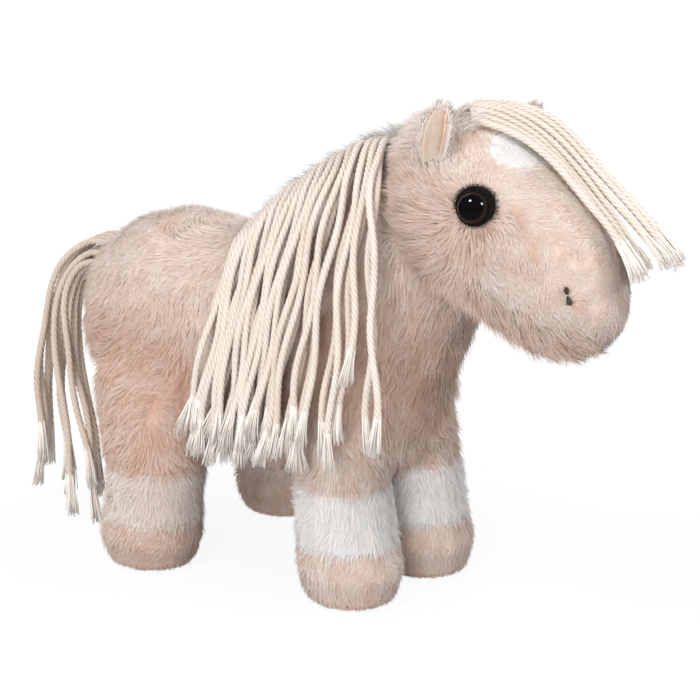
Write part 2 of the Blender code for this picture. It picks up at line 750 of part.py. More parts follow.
def make_cords():
    """The mane in locks along the crest, the forelock at the poll and the tail at the rump."""
    cords_per_lock = mane_cords // mane_locks
    for number in range(mane_locks):
        cords = range(number * cords_per_lock, (number + 1) * cords_per_lock)
        lock = make_lock(f"mane_lock_{number + 1}", mane_guides, mane_guide_shares, cords,
                         mane_cords, mane_layers, Vector((0, -1, 1)), mane_variation_share)
        combine(lock, "DIFFERENCE", bpy.data.objects["neck_outside"])
    forelock = make_lock("forelock", forelock_guides, even_shares(len(forelock_guides)),
                         range(forelock_cords), forelock_cords, forelock_layers,
                         Vector((1, 0, 2)), forelock_variation_share)
    combine(forelock, "DIFFERENCE", bpy.data.objects["head_outside"])
    tail = make_lock("tail", tail_guides, even_shares(len(tail_guides)), range(tail_cords),
                     tail_cords, tail_layers, Vector((0, -1, 0)), tail_variation_share, True)
    combine(tail, "DIFFERENCE", bpy.data.objects["torso_outside"])


def main():
    for thing in list(bpy.data.objects):
        bpy.data.objects.remove(thing)
    horse = bpy.data.objects.new("horse", None)
    bpy.context.collection.objects.link(horse)
    rear = forms["torso"].point(0.0, 0.0).x
    shares = [step / scan_steps for step in range(scan_steps + 1)]
    nose = max(forms["head"].point(share, turn).x for share in shares
               for turn in angles(head_sides))
    horse.location = (-(rear + nose) / 2, 0, 0)
    make_body()
    for label in ("left", "right"):
        make_leg(f"{label}_front")
        make_leg(f"{label}_hind")
    make_eye("left", eye_angle)
    make_eye("right", math.pi - eye_angle)
    make_star()
    for label, angle in (("left", nostril_angle), ("right", math.pi - nostril_angle)):
        frame = forms["head"].seat(nostril_along_share, angle)
        patch(f"{label}_nostril", frame, nostril_half_width, nostril_half_length,
              nostril_thickness, "dark_thread")
    make_ear("left", 1)
    make_ear("right", -1)
    make_cords()


forms = shape_forms()
main()
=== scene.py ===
"""Dresses the plush toy horse: furry covers, cord mane, forelock and tail, ears, eyes and stitching.

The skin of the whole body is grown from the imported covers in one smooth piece, brushed, cut into
the covers' pieces and given its pile by Geometry Nodes. The cords follow the routes of the CAD
model. +X points to the nose, +Y to the horse's left and +Z up, in metres.
"""
import json
import math
import random

import bmesh
import bpy
import numpy as np
from mathutils import Matrix, Vector, noise
from mathutils.bvhtree import BVHTree
from mathutils.kdtree import KDTree
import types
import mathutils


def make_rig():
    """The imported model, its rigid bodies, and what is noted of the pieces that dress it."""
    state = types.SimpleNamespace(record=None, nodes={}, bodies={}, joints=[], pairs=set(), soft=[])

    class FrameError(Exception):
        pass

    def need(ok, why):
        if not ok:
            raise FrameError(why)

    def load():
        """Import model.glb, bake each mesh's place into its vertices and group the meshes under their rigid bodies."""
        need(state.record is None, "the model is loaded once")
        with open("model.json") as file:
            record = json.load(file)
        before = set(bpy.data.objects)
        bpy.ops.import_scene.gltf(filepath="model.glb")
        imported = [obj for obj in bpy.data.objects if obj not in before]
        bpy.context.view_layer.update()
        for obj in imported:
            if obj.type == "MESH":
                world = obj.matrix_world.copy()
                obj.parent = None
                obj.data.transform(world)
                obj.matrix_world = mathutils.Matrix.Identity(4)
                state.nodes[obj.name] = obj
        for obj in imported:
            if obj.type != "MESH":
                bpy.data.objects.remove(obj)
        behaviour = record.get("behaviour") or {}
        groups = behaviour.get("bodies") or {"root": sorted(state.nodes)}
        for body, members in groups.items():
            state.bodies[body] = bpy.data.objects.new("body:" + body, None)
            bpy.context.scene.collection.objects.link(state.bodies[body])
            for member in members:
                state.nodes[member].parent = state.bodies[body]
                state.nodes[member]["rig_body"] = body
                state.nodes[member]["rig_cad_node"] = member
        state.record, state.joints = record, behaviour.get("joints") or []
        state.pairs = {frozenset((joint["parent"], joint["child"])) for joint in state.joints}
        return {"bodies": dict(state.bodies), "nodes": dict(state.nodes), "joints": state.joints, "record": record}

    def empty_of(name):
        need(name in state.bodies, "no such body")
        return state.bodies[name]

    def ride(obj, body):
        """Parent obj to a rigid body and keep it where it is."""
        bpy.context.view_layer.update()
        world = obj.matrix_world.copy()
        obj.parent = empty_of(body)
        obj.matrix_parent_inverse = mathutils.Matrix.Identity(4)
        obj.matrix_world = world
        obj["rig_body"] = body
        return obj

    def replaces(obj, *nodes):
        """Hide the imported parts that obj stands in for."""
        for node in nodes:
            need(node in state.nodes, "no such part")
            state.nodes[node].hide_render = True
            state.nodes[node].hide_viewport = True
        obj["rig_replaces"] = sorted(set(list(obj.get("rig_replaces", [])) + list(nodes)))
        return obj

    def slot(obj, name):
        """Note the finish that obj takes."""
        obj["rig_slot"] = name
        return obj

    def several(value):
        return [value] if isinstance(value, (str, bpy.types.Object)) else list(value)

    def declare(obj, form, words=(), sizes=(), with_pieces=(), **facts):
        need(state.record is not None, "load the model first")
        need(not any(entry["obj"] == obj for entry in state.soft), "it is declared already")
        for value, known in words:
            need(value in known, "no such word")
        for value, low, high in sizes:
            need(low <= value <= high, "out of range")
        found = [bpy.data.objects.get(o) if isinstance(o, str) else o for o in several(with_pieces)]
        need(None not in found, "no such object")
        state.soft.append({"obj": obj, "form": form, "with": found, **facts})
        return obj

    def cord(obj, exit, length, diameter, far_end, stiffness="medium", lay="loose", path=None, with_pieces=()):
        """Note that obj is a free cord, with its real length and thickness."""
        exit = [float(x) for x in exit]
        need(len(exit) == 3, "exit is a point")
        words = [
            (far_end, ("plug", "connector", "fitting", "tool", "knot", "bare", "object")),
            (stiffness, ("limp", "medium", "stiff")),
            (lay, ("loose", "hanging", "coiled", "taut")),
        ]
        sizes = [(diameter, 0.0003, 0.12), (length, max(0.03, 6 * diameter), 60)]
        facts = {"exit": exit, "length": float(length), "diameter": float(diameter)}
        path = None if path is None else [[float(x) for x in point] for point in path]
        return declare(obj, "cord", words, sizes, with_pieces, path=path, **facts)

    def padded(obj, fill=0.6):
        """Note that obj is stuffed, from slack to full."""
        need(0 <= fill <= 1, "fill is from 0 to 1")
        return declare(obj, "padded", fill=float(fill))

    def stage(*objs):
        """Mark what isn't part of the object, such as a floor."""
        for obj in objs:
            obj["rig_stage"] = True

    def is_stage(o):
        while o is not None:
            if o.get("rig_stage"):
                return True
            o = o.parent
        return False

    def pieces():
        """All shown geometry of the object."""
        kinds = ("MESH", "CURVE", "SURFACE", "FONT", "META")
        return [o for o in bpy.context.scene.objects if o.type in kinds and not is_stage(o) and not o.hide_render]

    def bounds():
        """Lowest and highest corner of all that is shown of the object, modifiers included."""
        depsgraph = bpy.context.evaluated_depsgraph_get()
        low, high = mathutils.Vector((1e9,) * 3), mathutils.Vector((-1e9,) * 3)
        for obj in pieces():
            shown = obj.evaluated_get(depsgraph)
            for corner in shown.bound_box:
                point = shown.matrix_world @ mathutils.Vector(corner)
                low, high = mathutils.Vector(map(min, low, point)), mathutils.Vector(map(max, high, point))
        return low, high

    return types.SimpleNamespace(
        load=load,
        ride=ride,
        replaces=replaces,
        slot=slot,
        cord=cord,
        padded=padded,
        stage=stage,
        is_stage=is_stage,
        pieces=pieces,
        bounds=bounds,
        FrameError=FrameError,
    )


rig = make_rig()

# The photograph's frame and camera
picture_size = 700
sensor_width = 36.0
view_azimuth = math.radians(40.0)
view_elevation = math.radians(16.7)
view_distance = 1.5
focal_pixels = 3184.5
target_pixel = (304.1, 337.4)
target_place = Vector((-0.0237, 0.0, 0.110))

# The CAD model's own origin, from which the routes below are given
horse_place = Vector((-0.023701, 0.0, 0.0))

# Cords: sizes and the guides of their routes, root to end, as in the CAD model
cord_diameter = 0.0034
cord_layer_gap = 0.0004
cord_length_beat = math.radians(138)
cord_ring_step = 0.0008
cord_sides = 16
cord_strands = 4
cord_lay_length = 0.0125
cord_valley_share = 0.19
cord_wander = {"mane": 0.0013, "forelock": 0.0004, "tail": 0.0012}
cord_wander_length = 0.068
tuft_lengths = {"mane": 0.0165, "forelock": 0.0180, "tail": 0.0185}
tuft_inside = 0.0035
tuft_spread = 0.0019
tuft_hairs = 40
tuft_hair_radius = 0.00040
mane_cords = 36
mane_locks = 9
mane_layers = 2
mane_variation_share = 0.10
mane_guide_shares = (0.00, 0.22, 0.44, 0.68, 0.83, 0.92, 1.00)
mane_guides = (
    ((-0.0240, 0.003, 0.1608), (-0.021, -0.010, 0.167), (-0.016, -0.028, 0.157),
     (-0.017, -0.038, 0.145), (-0.019, -0.046, 0.131), (-0.022, -0.051, 0.116),
     (-0.026, -0.054, 0.101), (-0.031, -0.055, 0.087)),
    ((-0.008, 0.003, 0.1776), (-0.005, -0.010, 0.1825), (0.001, -0.028, 0.172),
     (-0.001, -0.037, 0.156), (-0.003, -0.044, 0.138), (-0.005, -0.050, 0.117),
     (-0.009, -0.053, 0.096), (-0.014, -0.054, 0.074)),
    ((0.010, 0.003, 0.1917), (0.013, -0.010, 0.1955), (0.019, -0.027, 0.187),
     (0.018, -0.036, 0.170), (0.016, -0.043, 0.148), (0.013, -0.049, 0.124),
     (0.010, -0.052, 0.100), (0.006, -0.053, 0.078)),
    ((0.029, 0.003, 0.2040), (0.033, -0.011, 0.2085), (0.042, -0.029, 0.200),
     (0.039, -0.038, 0.179), (0.036, -0.044, 0.155), (0.033, -0.049, 0.130),
     (0.029, -0.052, 0.104), (0.025, -0.053, 0.080)),
    ((0.042, 0.003, 0.2117), (0.046, -0.011, 0.2155), (0.057, -0.031, 0.205),
     (0.057, -0.040, 0.182), (0.0555, -0.046, 0.157), (0.054, -0.050, 0.131),
     (0.052, -0.053, 0.106), (0.051, -0.054, 0.083)),
    ((0.050, 0.003, 0.2145), (0.054, -0.012, 0.2175), (0.066, -0.033, 0.205),
     (0.069, -0.041, 0.183), (0.070, -0.046, 0.158), (0.070, -0.049, 0.133),
     (0.070, -0.051, 0.108), (0.070, -0.052, 0.086)),
    ((0.057, 0.003, 0.2154), (0.061, -0.013, 0.2190), (0.076, -0.038, 0.204),
     (0.081, -0.045, 0.181), (0.085, -0.048, 0.156), (0.087, -0.050, 0.132),
     (0.088, -0.051, 0.110), (0.088, -0.051, 0.090)),
)
forelock_cords = 7
forelock_variation_share = 0.04
forelock_guides = (
    ((0.1055, -0.0108, 0.2311), (0.1132, -0.0085, 0.2297), (0.1207, -0.0058, 0.2276),
     (0.1305, -0.0035, 0.2237), (0.1427, -0.0026, 0.2170), (0.1535, -0.0030, 0.2094),
     (0.1639, -0.0039, 0.2011), (0.1743, -0.0046, 0.1928), (0.1811, -0.0045, 0.1849)),
    ((0.0961, 0.0000, 0.2345), (0.1036, 0.0040, 0.2345), (0.1118, 0.0078, 0.2322),
     (0.1241, 0.0105, 0.2270), (0.1364, 0.0110, 0.2196), (0.1483, 0.0107, 0.2106),
     (0.1603, 0.0100, 0.2004), (0.1693, 0.0095, 0.1928), (0.1782, 0.0092, 0.1846)),
    ((0.0913, 0.0130, 0.2331), (0.0985, 0.0170, 0.2342), (0.1079, 0.0205, 0.2340),
     (0.1197, 0.0238, 0.2314), (0.1311, 0.0256, 0.2252), (0.1435, 0.0260, 0.2158),
     (0.1564, 0.0254, 0.2059), (0.1711, 0.0245, 0.1954), (0.1860, 0.0240, 0.1845)),
)
tail_cords = 12
tail_layers = 4
tail_variation_share = 0.12
tail_guides = (
    ((-0.1147, 0.004, 0.1447), (-0.1350, 0.003, 0.1420), (-0.1510, -0.001, 0.1265),
     (-0.1600, -0.005, 0.1040), (-0.1635, -0.008, 0.0840), (-0.1642, -0.011, 0.0640),
     (-0.1632, -0.014, 0.0440), (-0.1620, -0.016, 0.0250)),
    ((-0.1212, 0.003, 0.1377), (-0.1350, 0.001, 0.1340), (-0.1445, -0.005, 0.1200),
     (-0.1487, -0.010, 0.1010), (-0.1472, -0.014, 0.0820), (-0.1430, -0.018, 0.0620),
     (-0.1370, -0.021, 0.0415), (-0.1330, -0.024, 0.0200)),
    ((-0.1265, 0.002, 0.1294), (-0.1335, -0.001, 0.1270), (-0.1372, -0.007, 0.1185),
     (-0.1352, -0.015, 0.1030), (-0.1266, -0.022, 0.0830), (-0.1141, -0.029, 0.0640),
     (-0.1025, -0.035, 0.0440), (-0.0965, -0.039, 0.0210)),
)
declared_mane_cords = [*range(1, 36, 2), 34, 32, 30]
short_mane_cord = 33
short_mane_share = 0.76
# How far the cords sink into the fur at their roots, and over how many steps
root_drops = {"tail": (0.0070, 9), "mane": (0.0062, 7)}
mane_rear_drop = 0.0030

# Skin: how it is grown from the covers
skin_voxel = 0.0025
skin_smoothing = 14
skin_wall = 0.0018
skin_sink_share = 0.45

# Pile lengths
forehead_pile = 0.0034
cheek_pile = 0.0100
neck_pile = 0.0085
torso_pile = 0.0056
thigh_pile = 0.0098
leg_pile = 0.0070
band_pile = 0.0060
hoof_pile = 0.0046
sole_pile = 0.0012
star_pile = 0.0034


# Node trees


class Wire:
    """A value in a node tree; arithmetic on it adds Math nodes."""

    def __init__(self, net, socket):
        self.net = net
        self.socket = socket

    def math(self, operation, *values):
        return self.net.add("ShaderNodeMath", {"operation": operation}, dict(enumerate(values)))[0]

    def __add__(self, other):
        return self.math("ADD", self, other)

    def __sub__(self, other):
        return self.math("SUBTRACT", self, other)

    def __rsub__(self, other):
        return self.math("SUBTRACT", other, self)

    def __mul__(self, other):
        return self.math("MULTIPLY", self, other)

    def __pow__(self, other):
        return self.math("POWER", self, other)

    __radd__ = __add__
    __rmul__ = __mul__


class Net:
    """Builds the nodes of one tree."""

    def __init__(self, tree):
        self.tree = tree

    def add(self, kind, settings=None, values=None):
        """One node, with its settings made first, and then the values or links of its sockets."""
        made = self.tree.nodes.new(kind)
        for name, value in (settings or {}).items():
            if name == "stops":
                while len(made.color_ramp.elements) < len(value):
                    made.color_ramp.elements.new(1.0)
                for stop, (place, colour) in zip(made.color_ramp.elements, value):
                    stop.position = place
                    stop.color = (*colour, 1.0)
            else:
                setattr(made, name, value)
        for name, value in (values or {}).items():
            socket = made.inputs[name] if isinstance(name, int) else self.find(made.inputs, name)
            if isinstance(value, Wire):
                self.tree.links.new(value.socket, socket)
            else:
                socket.default_value = value
        return Made(self, made)

    @staticmethod
    def find(sockets, name):
        return next(socket for socket in sockets if socket.name == name and socket.enabled)

    def vector(self, operation, *values):
        found = self.add("ShaderNodeVectorMath", {"operation": operation}, dict(enumerate(values)))
        return found["Value" if operation in ("DOT_PRODUCT", "LENGTH") else "Vector"]

    def scaled(self, vector, factor):
        return self.add("ShaderNodeVectorMath", {"operation": "SCALE"},
                        {"Vector": vector, "Scale": factor})["Vector"]

    def mixed(self, factor, first, second):
        made = self.add("ShaderNodeMix", {"data_type": "RGBA"})
        node = made.node
        for place, value in ((0, factor), (6, first), (7, second)):
            if isinstance(value, Wire):
                self.tree.links.new(value.socket, node.inputs[place])
            else:
                node.inputs[place].default_value = value if place == 0 else (*value, 1.0)
        return Wire(self, node.outputs[2])


class Made:
    """A node whose outputs are picked by name or number."""

    def __init__(self, net, node):
        self.net = net
        self.node = node

    def __getitem__(self, key):
        outputs = self.node.outputs
        return Wire(self.net, outputs[key] if isinstance(key, int) else self.net.find(outputs, key))


def finish(name, build):
    """A material whose Principled shader gets what build returns for its sockets."""
    material = bpy.data.materials.new(name)
    material.use_nodes = True
    net = Net(material.node_tree)
    shader = material.node_tree.nodes["Principled BSDF"]
    for socket, value in build(net).items():
        if isinstance(value, Wire):
            net.tree.links.new(value.socket, shader.inputs[socket])
        else:
            shader.inputs[socket].default_value = value
    return material


def pile_finish(name, root_colours, tip_colours, turn=(0.0, 1.0)):
    """Fibres that go from a darker root colour, painted shade deep in the pile, to a pale tip, with a tint of their
    own.
    """
    def build(net):
        place = net.add("ShaderNodeUVMap", {"uv_map": "pile"})[0]
        split = net.add("ShaderNodeSeparateXYZ", values={0: place})
        tint = net.add("ShaderNodeMapRange", values={"Value": split[0], "From Min": turn[0],
                                                     "From Max": turn[1]})[0]
        root = net.mixed(tint, *root_colours)
        tip = net.mixed(tint, *tip_colours)
        rise = net.add("ShaderNodeMapRange", {"interpolation_type": "SMOOTHSTEP"},
                       {"Value": split[1], "From Max": 0.85})[0]
        return {"Base Color": net.mixed(rise, root, tip), "Roughness": 0.85,
                "Specular IOR Level": 0.1, "Subsurface Weight": 0.12, "Subsurface Scale": 0.0015,
                "Subsurface Radius": (1.0, 0.8, 0.7)}
    return finish(name, build)


def cord_finish(name, valley, ridge):
    """Twisted cotton: painted shade where the strands meet, with fine lengthwise hairs."""
    def build(net):
        place = net.add("ShaderNodeUVMap", {"uv_map": "strand"})[0]
        split = net.add("ShaderNodeSeparateXYZ", values={0: place})
        hairs = net.add("ShaderNodeTexNoise", values={
            "Vector": net.vector("MULTIPLY", place, (9.0, 90.0, 0.0)), "Scale": 1.0,
            "Detail": 3.0})["Fac"]
        patches = net.add("ShaderNodeTexNoise", values={
            "Vector": net.add("ShaderNodeTexCoord")["Object"], "Scale": 60.0, "Detail": 2.0})["Fac"]
        colour = net.mixed(split[0] * 0.85 + hairs * 0.35 + patches * 0.3 - 0.22, valley, ridge)
        bump = net.add("ShaderNodeBump", values={"Strength": 0.35, "Distance": 0.0004,
                                                 "Height": hairs})["Normal"]
        return {"Base Color": colour, "Roughness": 0.8, "Specular IOR Level": 0.2, "Normal": bump}
    return finish(name, build)


def felt_finish(name, dark, light, size=900.0):
    """Felt or fuzz with fine mottling and a soft nap."""
    def build(net):
        place = net.add("ShaderNodeTexCoord")["Object"]
        nap = net.add("ShaderNodeTexNoise", values={"Vector": place, "Scale": size,
                                                    "Detail": 4.0})["Fac"]
        cloud = net.add("ShaderNodeTexNoise", values={"Vector": place, "Scale": size / 12,
                                                      "Detail": 2.0})["Fac"]
        bump = net.add("ShaderNodeBump", values={"Strength": 0.5, "Distance": 0.0003,
                                                 "Height": nap})["Normal"]
        return {"Base Color": net.mixed(nap * 0.6 + cloud * 0.8 - 0.2, dark, light),
                "Roughness": 0.9, "Specular IOR Level": 0.1, "Normal": bump}
    return finish(name, build)


def eye_finish():
    """Polished plastic: a black pupil, and a dark brown rim that light enters."""
    def build(net):
        place = net.add("ShaderNodeUVMap", {"uv_map": "radius"})[0]
        out = net.add("ShaderNodeSeparateXYZ", values={0: place})[0]
        cloud = net.add("ShaderNodeTexNoise", values={
            "Vector": net.add("ShaderNodeTexCoord")["Object"], "Scale": 700.0, "Detail": 2.0})["Fac"]
        rim = net.add("ShaderNodeMapRange", {"interpolation_type": "SMOOTHSTEP"},
                      {"Value": out + cloud * 0.06, "From Min": 0.80, "From Max": 0.95})[0]
        return {"Base Color": net.mixed(rim, (0.004, 0.003, 0.004), (0.020, 0.009, 0.007)),
                "Specular IOR Level": 0.2,
                "Roughness": rim * 0.35 + 0.06, "Coat Weight": 0.7 - rim * 0.7,
                "Coat Roughness": 0.04}
    return finish("eye_plastic", build)


def make_finishes():
    """Every material, by the names of the record's slots."""
    return {
        "beige_plush": pile_finish("beige_plush", ((0.44, 0.21, 0.13), (0.82, 0.68, 0.58)),
                                   ((0.72, 0.40, 0.26), (0.96, 0.93, 0.89))),
        "white_plush": pile_finish("white_plush", ((0.76, 0.58, 0.48), (0.88, 0.85, 0.83)),
                                   ((0.90, 0.76, 0.67), (0.96, 0.94, 0.92)), (0.15, 0.50)),
        "cream_cord": cord_finish("cream_cord", (0.55, 0.44, 0.36), (0.91, 0.85, 0.79)),
        "apricot_felt": pile_finish("apricot_felt", ((0.72, 0.44, 0.30), (0.76, 0.62, 0.50)),
                                    ((0.80, 0.54, 0.40), (0.84, 0.72, 0.62))),
        "black_felt": pile_finish("black_felt", ((0.004, 0.003, 0.003), (0.010, 0.008, 0.008)),
                                  ((0.007, 0.006, 0.006), (0.022, 0.019, 0.018))),
        "eye_plastic": eye_finish(),
        "dark_thread": felt_finish("dark_thread", (0.03, 0.02, 0.02), (0.11, 0.085, 0.08)),
        "filling": felt_finish("filling", (0.70, 0.70, 0.68), (0.88, 0.88, 0.87), 500.0),
        "washer_plastic": felt_finish("washer_plastic", (0.68, 0.68, 0.66), (0.76, 0.76, 0.74)),
    }


# Camera and light


def make_camera():
    """The photograph's camera: its own place and turn, and a shift for the photograph's framing."""
    back = Vector((math.sin(view_azimuth) * math.cos(view_elevation),
                   -math.cos(view_azimuth) * math.cos(view_elevation), math.sin(view_elevation)))
    right = Vector((math.cos(view_azimuth), math.sin(view_azimuth), 0.0))
    camera = bpy.data.objects.new("camera", bpy.data.cameras.new("camera"))
    bpy.context.scene.collection.objects.link(camera)
    turn = Matrix((right, back.cross(right), back)).transposed().to_4x4()
    turn.translation = target_place + back * view_distance
    camera.matrix_world = turn
    camera.data.sensor_width = sensor_width
    camera.data.lens = focal_pixels / picture_size * sensor_width
    camera.data.shift_x = (picture_size / 2 - target_pixel[0]) / picture_size
    camera.data.shift_y = -(picture_size / 2 - target_pixel[1]) / picture_size
    bpy.context.scene.camera = camera
    bpy.context.scene.view_settings.view_transform = "Standard"


def make_light(name, place, aim, size, power, seen=True):
    """A round soft lamp; one that isn't seen leaves no reflection."""
    light = bpy.data.objects.new(name, bpy.data.lights.new(name, "AREA"))
    light.data.shape = "DISK"
    light.data.size = size
    light.data.energy = power
    light.visible_glossy = seen
    light.location = place
    light.rotation_euler = (Vector(aim) - Vector(place)).to_track_quat("-Z", "Y").to_euler()
    bpy.context.scene.collection.objects.link(light)


def make_studio():
    """A pale floor that keeps the shadow, a white surround and soft lamps."""
    world = bpy.data.worlds.new("studio")
    bpy.context.scene.world = world
    world.use_nodes = True
    net = Net(world.node_tree)
    ground = world.node_tree.nodes["Background"]
    ground.inputs["Color"].default_value = (1.0, 1.0, 1.0, 1.0)
    path = net.add("ShaderNodeLightPath")
    strength = (path["Is Camera Ray"] * (1 - world_strength)
                - path["Is Glossy Ray"] * (world_strength - gloss_strength) + world_strength)
    net.tree.links.new(strength.socket, ground.inputs["Strength"])
    floor = bpy.data.meshes.new("floor")
    reach = floor_reach
    floor.from_pydata([(-reach, -reach, 0), (reach, -reach, 0), (reach, reach, 0),
                       (-reach, reach, 0)], [], [(0, 1, 2, 3)])
    stage = bpy.data.objects.new("floor", floor)
    bpy.context.scene.collection.objects.link(stage)
    floor.materials.append(floor_finish())
    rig.stage(stage)
    make_light("key", (-0.013, -0.86, 1.69), (0.02, 0.0, 0.12), 0.32, 10.8)
    make_light("far_key", (1.27, 0.335, 1.055), (0.05, 0.0, 0.15), 0.36, 7.0)
    make_light("face", (1.30, -0.60, 0.85), (0.10, 0.0, 0.18), 0.7, 4.0, seen=False)
    make_light("fill", (0.50, -1.25, 0.42), (0.03, 0.0, 0.09), 0.9, 10.5, seen=False)
    make_light("far_side", (-0.35, 0.95, 1.25), (0.0, 0.0, 0.14), 0.8, 5.0, seen=False)
    make_light("rear", (-1.30, -0.20, 0.70), (-0.05, 0.0, 0.10), 0.9, 4.2, seen=False)


world_strength = 0.42
gloss_strength = 0.03
floor_reach = 6.0


def floor_finish():
    """White to the camera except for the shadow on it."""
    material = bpy.data.materials.new("floor")
    material.use_nodes = True
    net = Net(material.node_tree)
    shader = material.node_tree.nodes["Principled BSDF"]
    shader.inputs["Roughness"].default_value = 0.9
    shader.inputs["Specular IOR Level"].default_value = 0.0
    glow = net.add("ShaderNodeEmission", values={"Strength": 1.05})[0]
    place = net.add("ShaderNodeTexCoord")["Object"]
    far = net.add("ShaderNodeMapRange", {"interpolation_type": "SMOOTHSTEP"},
                  {"Value": net.vector("LENGTH", place), "From Min": 0.16, "From Max": 0.42})[0]
    path = net.add("ShaderNodeLightPath")
    colour = net.mixed(path["Is Glossy Ray"], (0.60, 0.60, 0.60), (0.05, 0.05, 0.05))
    net.tree.links.new(colour.socket, shader.inputs["Base Color"])
    share = path["Is Camera Ray"] * (far * 0.13 + 0.87)
    mix = net.add("ShaderNodeMixShader", values={0: share})
    net.tree.links.new(shader.outputs[0], mix.node.inputs[1])
    net.tree.links.new(glow.socket, mix.node.inputs[2])
    net.tree.links.new(mix.node.outputs[0], material.node_tree.nodes["Material Output"].inputs[0])
    return material


# Routes of the cords


def smooth_row(rows, share):
    """The columns of a table at one share, on a smooth curve through its rows."""
    last = len(rows) - 2
    index = 0
    while index < last and share > rows[index + 1][0]:
        index += 1
    low, high = rows[index], rows[index + 1]
    before = rows[max(index - 1, 0)]
    after = rows[min(index + 2, len(rows) - 1)]
    span = high[0] - low[0]
    part = min(max((share - low[0]) / span, 0.0), 1.0)
    square, cube = part ** 2, part ** 3
    values = []
    for column in range(1, len(low)):
        slope_low = (high[column] - before[column]) / (high[0] - before[0])
        slope_high = (after[column] - low[column]) / (after[0] - low[0])
        values.append(low[column] * (2 * cube - 3 * square + 1)
                      + high[column] * (3 * square - 2 * cube)
                      + slope_low * span * (cube - 2 * square + part)
                      + slope_high * span * (cube - square))
    return values


def route_point(guides, shares, across, along):
    """A point between guides: across from the first to the last, along from root to end."""
    steps = len(guides[0]) - 1
    rows = []
    for share, guide in zip(shares, guides):
        table = tuple((index / steps, *point) for index, point in enumerate(guide))
        rows.append((share, *smooth_row(table, along)))
    return Vector(smooth_row(rows, across))


def route_normal(guides, shares, across, along, outwards):
    """The direction square to the sheet of cords, on its outer side."""
    step = 0.01
    side = (route_point(guides, shares, min(across + step, 1.0), along)
            - route_point(guides, shares, max(across - step, 0.0), along))
    down = (route_point(guides, shares, across, min(along + step, 1.0))
            - route_point(guides, shares, across, max(along - step, 0.0)))
    normal = side.cross(down).normalized()
    return normal if normal.dot(outwards) > 0 else -normal


def even_shares(count):
    return [index / (count - 1) for index in range(count)]


def cord_routes(guides, shares, count, layers, outwards, variation_share, centred=False, locks=1):
    """The centre lines of a row of cords, as in the CAD model, in the row frame."""
    layer_step = cord_diameter + cord_layer_gap
    first_layer = -(layers - 1) / 2 if centred else 0
    routes = []
    for cord in range(count):
        start = (cord + 0.5) / count
        height = (first_layer + cord % layers) * layer_step
        reach = 1 - variation_share * (1 + math.sin(cord_length_beat * cord)) / 2
        route = []
        for step in range(route_steps + 1):
            along = reach * step / route_steps
            # The cords of one lock draw together towards its end
            across = start + lock_draw * along * math.sin(2 * math.pi * start * locks) / locks
            across += rear_draw * along * (1 - start) ** 2 * (locks > 1)
            route.append(route_point(guides, shares, across, along) + horse_place
                         + route_normal(guides, shares, across, along, outwards) * height)
        routes.append(route)
    return routes


route_steps = 20
lock_draw = -0.11
rear_draw = 0.10


def resampled(points, step):
    """Evenly spaced points along a smooth curve through a route, and its length."""
    count = len(points)
    table = [(index, *point) for index, point in enumerate(points)]
    fine = np.array([smooth_row(table, index / 4) for index in range(4 * (count - 1) + 1)])
    lengths = np.concatenate([[0.0], np.cumsum(np.linalg.norm(np.diff(fine, axis=0), axis=1))])
    marks = np.linspace(0.0, lengths[-1], max(2, round(lengths[-1] / step) + 1))
    return np.stack([np.interp(marks, lengths, fine[:, axis]) for axis in range(3)], 1), marks


def ring_frames(line):
    """Two unit vectors square to the line at each point, carried along it without twist."""
    tangents = np.gradient(line, axis=0)
    tangents /= np.linalg.norm(tangents, axis=1)[:, None]
    side = np.cross(tangents[0], (0.31, 0.52, 0.79))
    sides = []
    for tangent in tangents:
        side = side - tangent * side.dot(tangent)
        side /= np.linalg.norm(side)
        sides.append(side)
    sides = np.array(sides)
    return tangents, sides, np.cross(tangents, sides)


